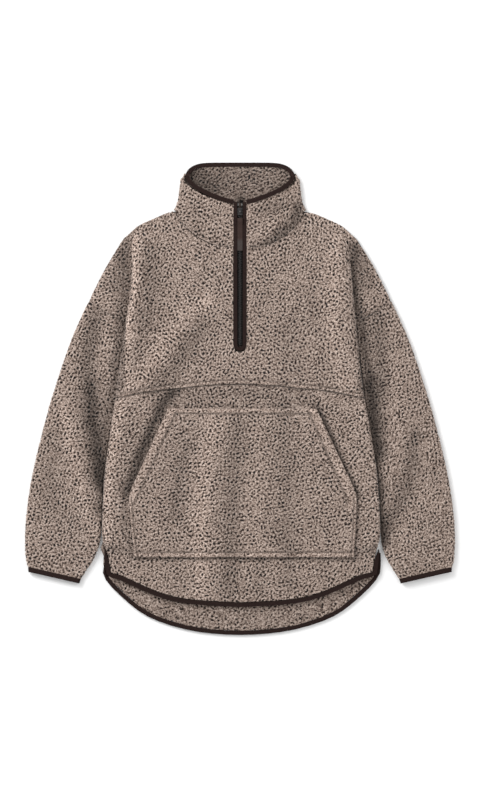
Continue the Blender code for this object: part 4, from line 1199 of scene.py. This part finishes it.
def cut_through(target, cutter):
    """Cuts an opening with another object, and removes that object."""
    only(target)
    step = target.modifiers.new("opening", "BOOLEAN")
    step.operation = "DIFFERENCE"
    step.object = cutter
    bpy.ops.object.modifier_apply(modifier=step.name)
    bpy.data.objects.remove(cutter)


def round_upright_edges(block, offset, low=-1.0, high=1.0):
    """Bevels a block's upright edges between two places along Y."""
    only(block)
    for edge in block.data.edges:
        ends = [block.data.vertices[i].co for i in edge.vertices]
        upright = abs(ends[0].x - ends[1].x) + abs(ends[0].y - ends[1].y) < 0.01 * MM
        edge.select = upright and low < ends[0].y < high
    bpy.context.tool_settings.mesh_select_mode = (False, True, False)
    bpy.ops.object.mode_set(mode="EDIT")
    bpy.ops.mesh.bevel(offset=offset, segments=CORNER_STEPS, affect="EDGES")
    bpy.ops.object.mode_set(mode="OBJECT")


print("material:", lacquer.material.name)

# %% Pull plate
PLATE_CORNER = 3.4 * MM
PLATE_FOOT = 1.6 * MM
PLATE_WAIST = 0.82
WAIST_BELOW_MIDDLE = 2.5 * MM
CUT_DEPTH = 6 * MM
HOLE_RADIUS = 1.7 * MM
HOLE_PLACE = 0.3268
SLOT_SIZE = (8.2 * MM, 3.0 * MM, CUT_DEPTH)
SLOT_CORNER = 0.8 * MM
SLOT_ABOVE_FOOT = 3.3 * MM
EDGE_BREAK = 0.28 * MM
SMOOTH_ANGLE = radians(40)

plate_low, plate_high = (Vector(corner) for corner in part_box("pull_plate"))
plate_middle = (plate_low + plate_high) / 2
pull_plate = add_block("pull_plate_rounded", plate_high - plate_low, plate_middle)
only(pull_plate)
bpy.ops.object.mode_set(mode="EDIT")
bpy.ops.mesh.select_all(action="SELECT")
bpy.ops.mesh.bisect(plane_co=(0, plate_low.y + 2 * SLOT_ABOVE_FOOT, 0), plane_no=(0, 1, 0))
bpy.ops.object.mode_set(mode="OBJECT")
for vertex in pull_plate.data.vertices:
    if vertex.co.y > plate_middle.y - WAIST_BELOW_MIDDLE:
        vertex.co.x *= PLATE_WAIST
round_upright_edges(pull_plate, PLATE_CORNER, low=plate_middle.y)
round_upright_edges(pull_plate, PLATE_FOOT, high=plate_low.y + SLOT_ABOVE_FOOT)
bpy.ops.mesh.primitive_cylinder_add(vertices=24, radius=HOLE_RADIUS, depth=CUT_DEPTH, location=(
    0, HOLE_PLACE, plate_middle.z))
cut_through(pull_plate, bpy.context.object)
slot_place = (0, plate_low.y + SLOT_ABOVE_FOOT, plate_middle.z)
slot_block = add_block("slot_block", SLOT_SIZE, slot_place)
round_upright_edges(slot_block, SLOT_CORNER)
cut_through(pull_plate, slot_block)
round_edges(pull_plate, EDGE_BREAK)
only(pull_plate)
bpy.ops.object.shade_smooth_by_angle(angle=SMOOTH_ANGLE)
pull_plate.data.materials.append(lacquer.material)
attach(pull_plate, "pull")
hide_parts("pull_plate")
report(pull_plate)

# %% [markdown]
# ## Pull tape
# A flat woven ribbon runs through the plate's slot and lies double. Fine cross ribs show on it, and
# its free end is a paler grey-brown.

# %% Pull tape
PALE_END_FROM = 0.281
PALE_END_REACH = 0.006
CROSS_RIB = 1.3 * MM
CROSS_RIB_TONE = 0.2
RIBBON_ROUND = 0.25 * MM

ribbon_finish = Paint("woven_pull_tape", 0.85, Specular_IOR_Level=0.2)
place_y = ribbon_finish.along("Y")
# The tape's free end is paler and greyer.
pale_end = ribbon_finish.node("ShaderNodeMapRange", {}, {
    "Value": place_y, "From Min": PALE_END_FROM, "From Max": PALE_END_FROM - PALE_END_REACH})
weave = ribbon_finish.wave(place_y, CROSS_RIB) * CROSS_RIB_TONE + ribbon_finish.noise(0.0012)
plain = ribbon_finish.ramp(weave, ((0.25, (0.024, 0.0135, 0.011)), (0.8, (0.046, 0.028, 0.0235))))
grey = ribbon_finish.ramp(weave, ((0.25, (0.032, 0.025, 0.023)), (0.8, (0.058, 0.047, 0.043))))
ribbon_finish.feed("Base Color", ribbon_finish.blend(pale_end, plain, grey))
ribbon_finish.bump(weave, 0.0003)

pull_ribbon = copy_node("pull_tape", "pull_ribbon")
round_edges(pull_ribbon, RIBBON_ROUND)
subdivide_smoothly(pull_ribbon, 1)
pull_ribbon.data.materials.append(ribbon_finish.material)
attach(pull_ribbon, "pull")
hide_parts("pull_tape")
report(pull_ribbon)

# %% [markdown]
# ## Slider, stops and tapes
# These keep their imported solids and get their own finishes: the teeth's black on the slider, bare
# metal on the two top stops, and a fine twill on the two zip tapes.

# %% Slider, stops and tapes
TWILL_PITCH = 0.9 * MM
TWILL_TONE = 0.2

twill = Paint("black_twill", 0.85, Specular_IOR_Level=0.2)
diagonal = twill.wave(twill.along("Y") + twill.along("X"), TWILL_PITCH)
threads = diagonal * TWILL_TONE + twill.noise(0.001)
twill.feed("Base Color", twill.ramp(threads, (
    (0.2, (0.009, 0.008, 0.008)), (0.8, (0.022, 0.019, 0.018)))))
twill.bump(threads, 0.0002)
stop_metal = Paint("bare_metal", 0.3, Metallic=0.7)
stop_metal.mottle(0.003, (0.24, 0.23, 0.22), (0.36, 0.35, 0.34))
for node_name, finish in (("zip_slider", teeth_finish), ("top_stop_left", stop_metal),
                          ("top_stop_right", stop_metal), ("zip_tape_left", twill),
                          ("zip_tape_right", twill)):
    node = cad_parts[node_name]
    node.data.materials.clear()
    node.data.materials.append(finish.material)
    print(node_name, "gets", finish.material.name)

# %% [markdown]
# ## Sizes of the cut cloth
# Each fleece piece is a sheet that was cut flat. The sizes here, in metres and square metres, are of
# the cut that shows, and all round on a tube.

Cut = namedtuple("Cut", "piece width length area rests trims")
CUTS = (
    Cut(back, 0.53, 0.735, 0.315, ["back_panel"], [back_hem_tape]),
    Cut(yoke, 0.53, 0.33, 0.127, ["back_panel"], [zip_edge_tape, yoke_thread]),
    Cut(lower, 0.52, 0.38, 0.172, ["back_panel"], [front_hem_tape]),
    Cut(pocket, 0.398, 0.26, 0.093, ["front_lower_panel"], [pocket_thread]),
    Cut(collar, 0.45, 0.09, 0.032, ["back_panel"], [collar_tape]),
    Cut(left_sleeve, 0.34, 0.49, 0.103, ["back_panel"], [left_cuff_tape]),
    Cut(right_sleeve, 0.34, 0.49, 0.102, ["back_panel"], [right_cuff_tape]),
)
for cut in CUTS:
    print(cut.piece.name, "cut:", cut.width, "x", cut.length, "m")
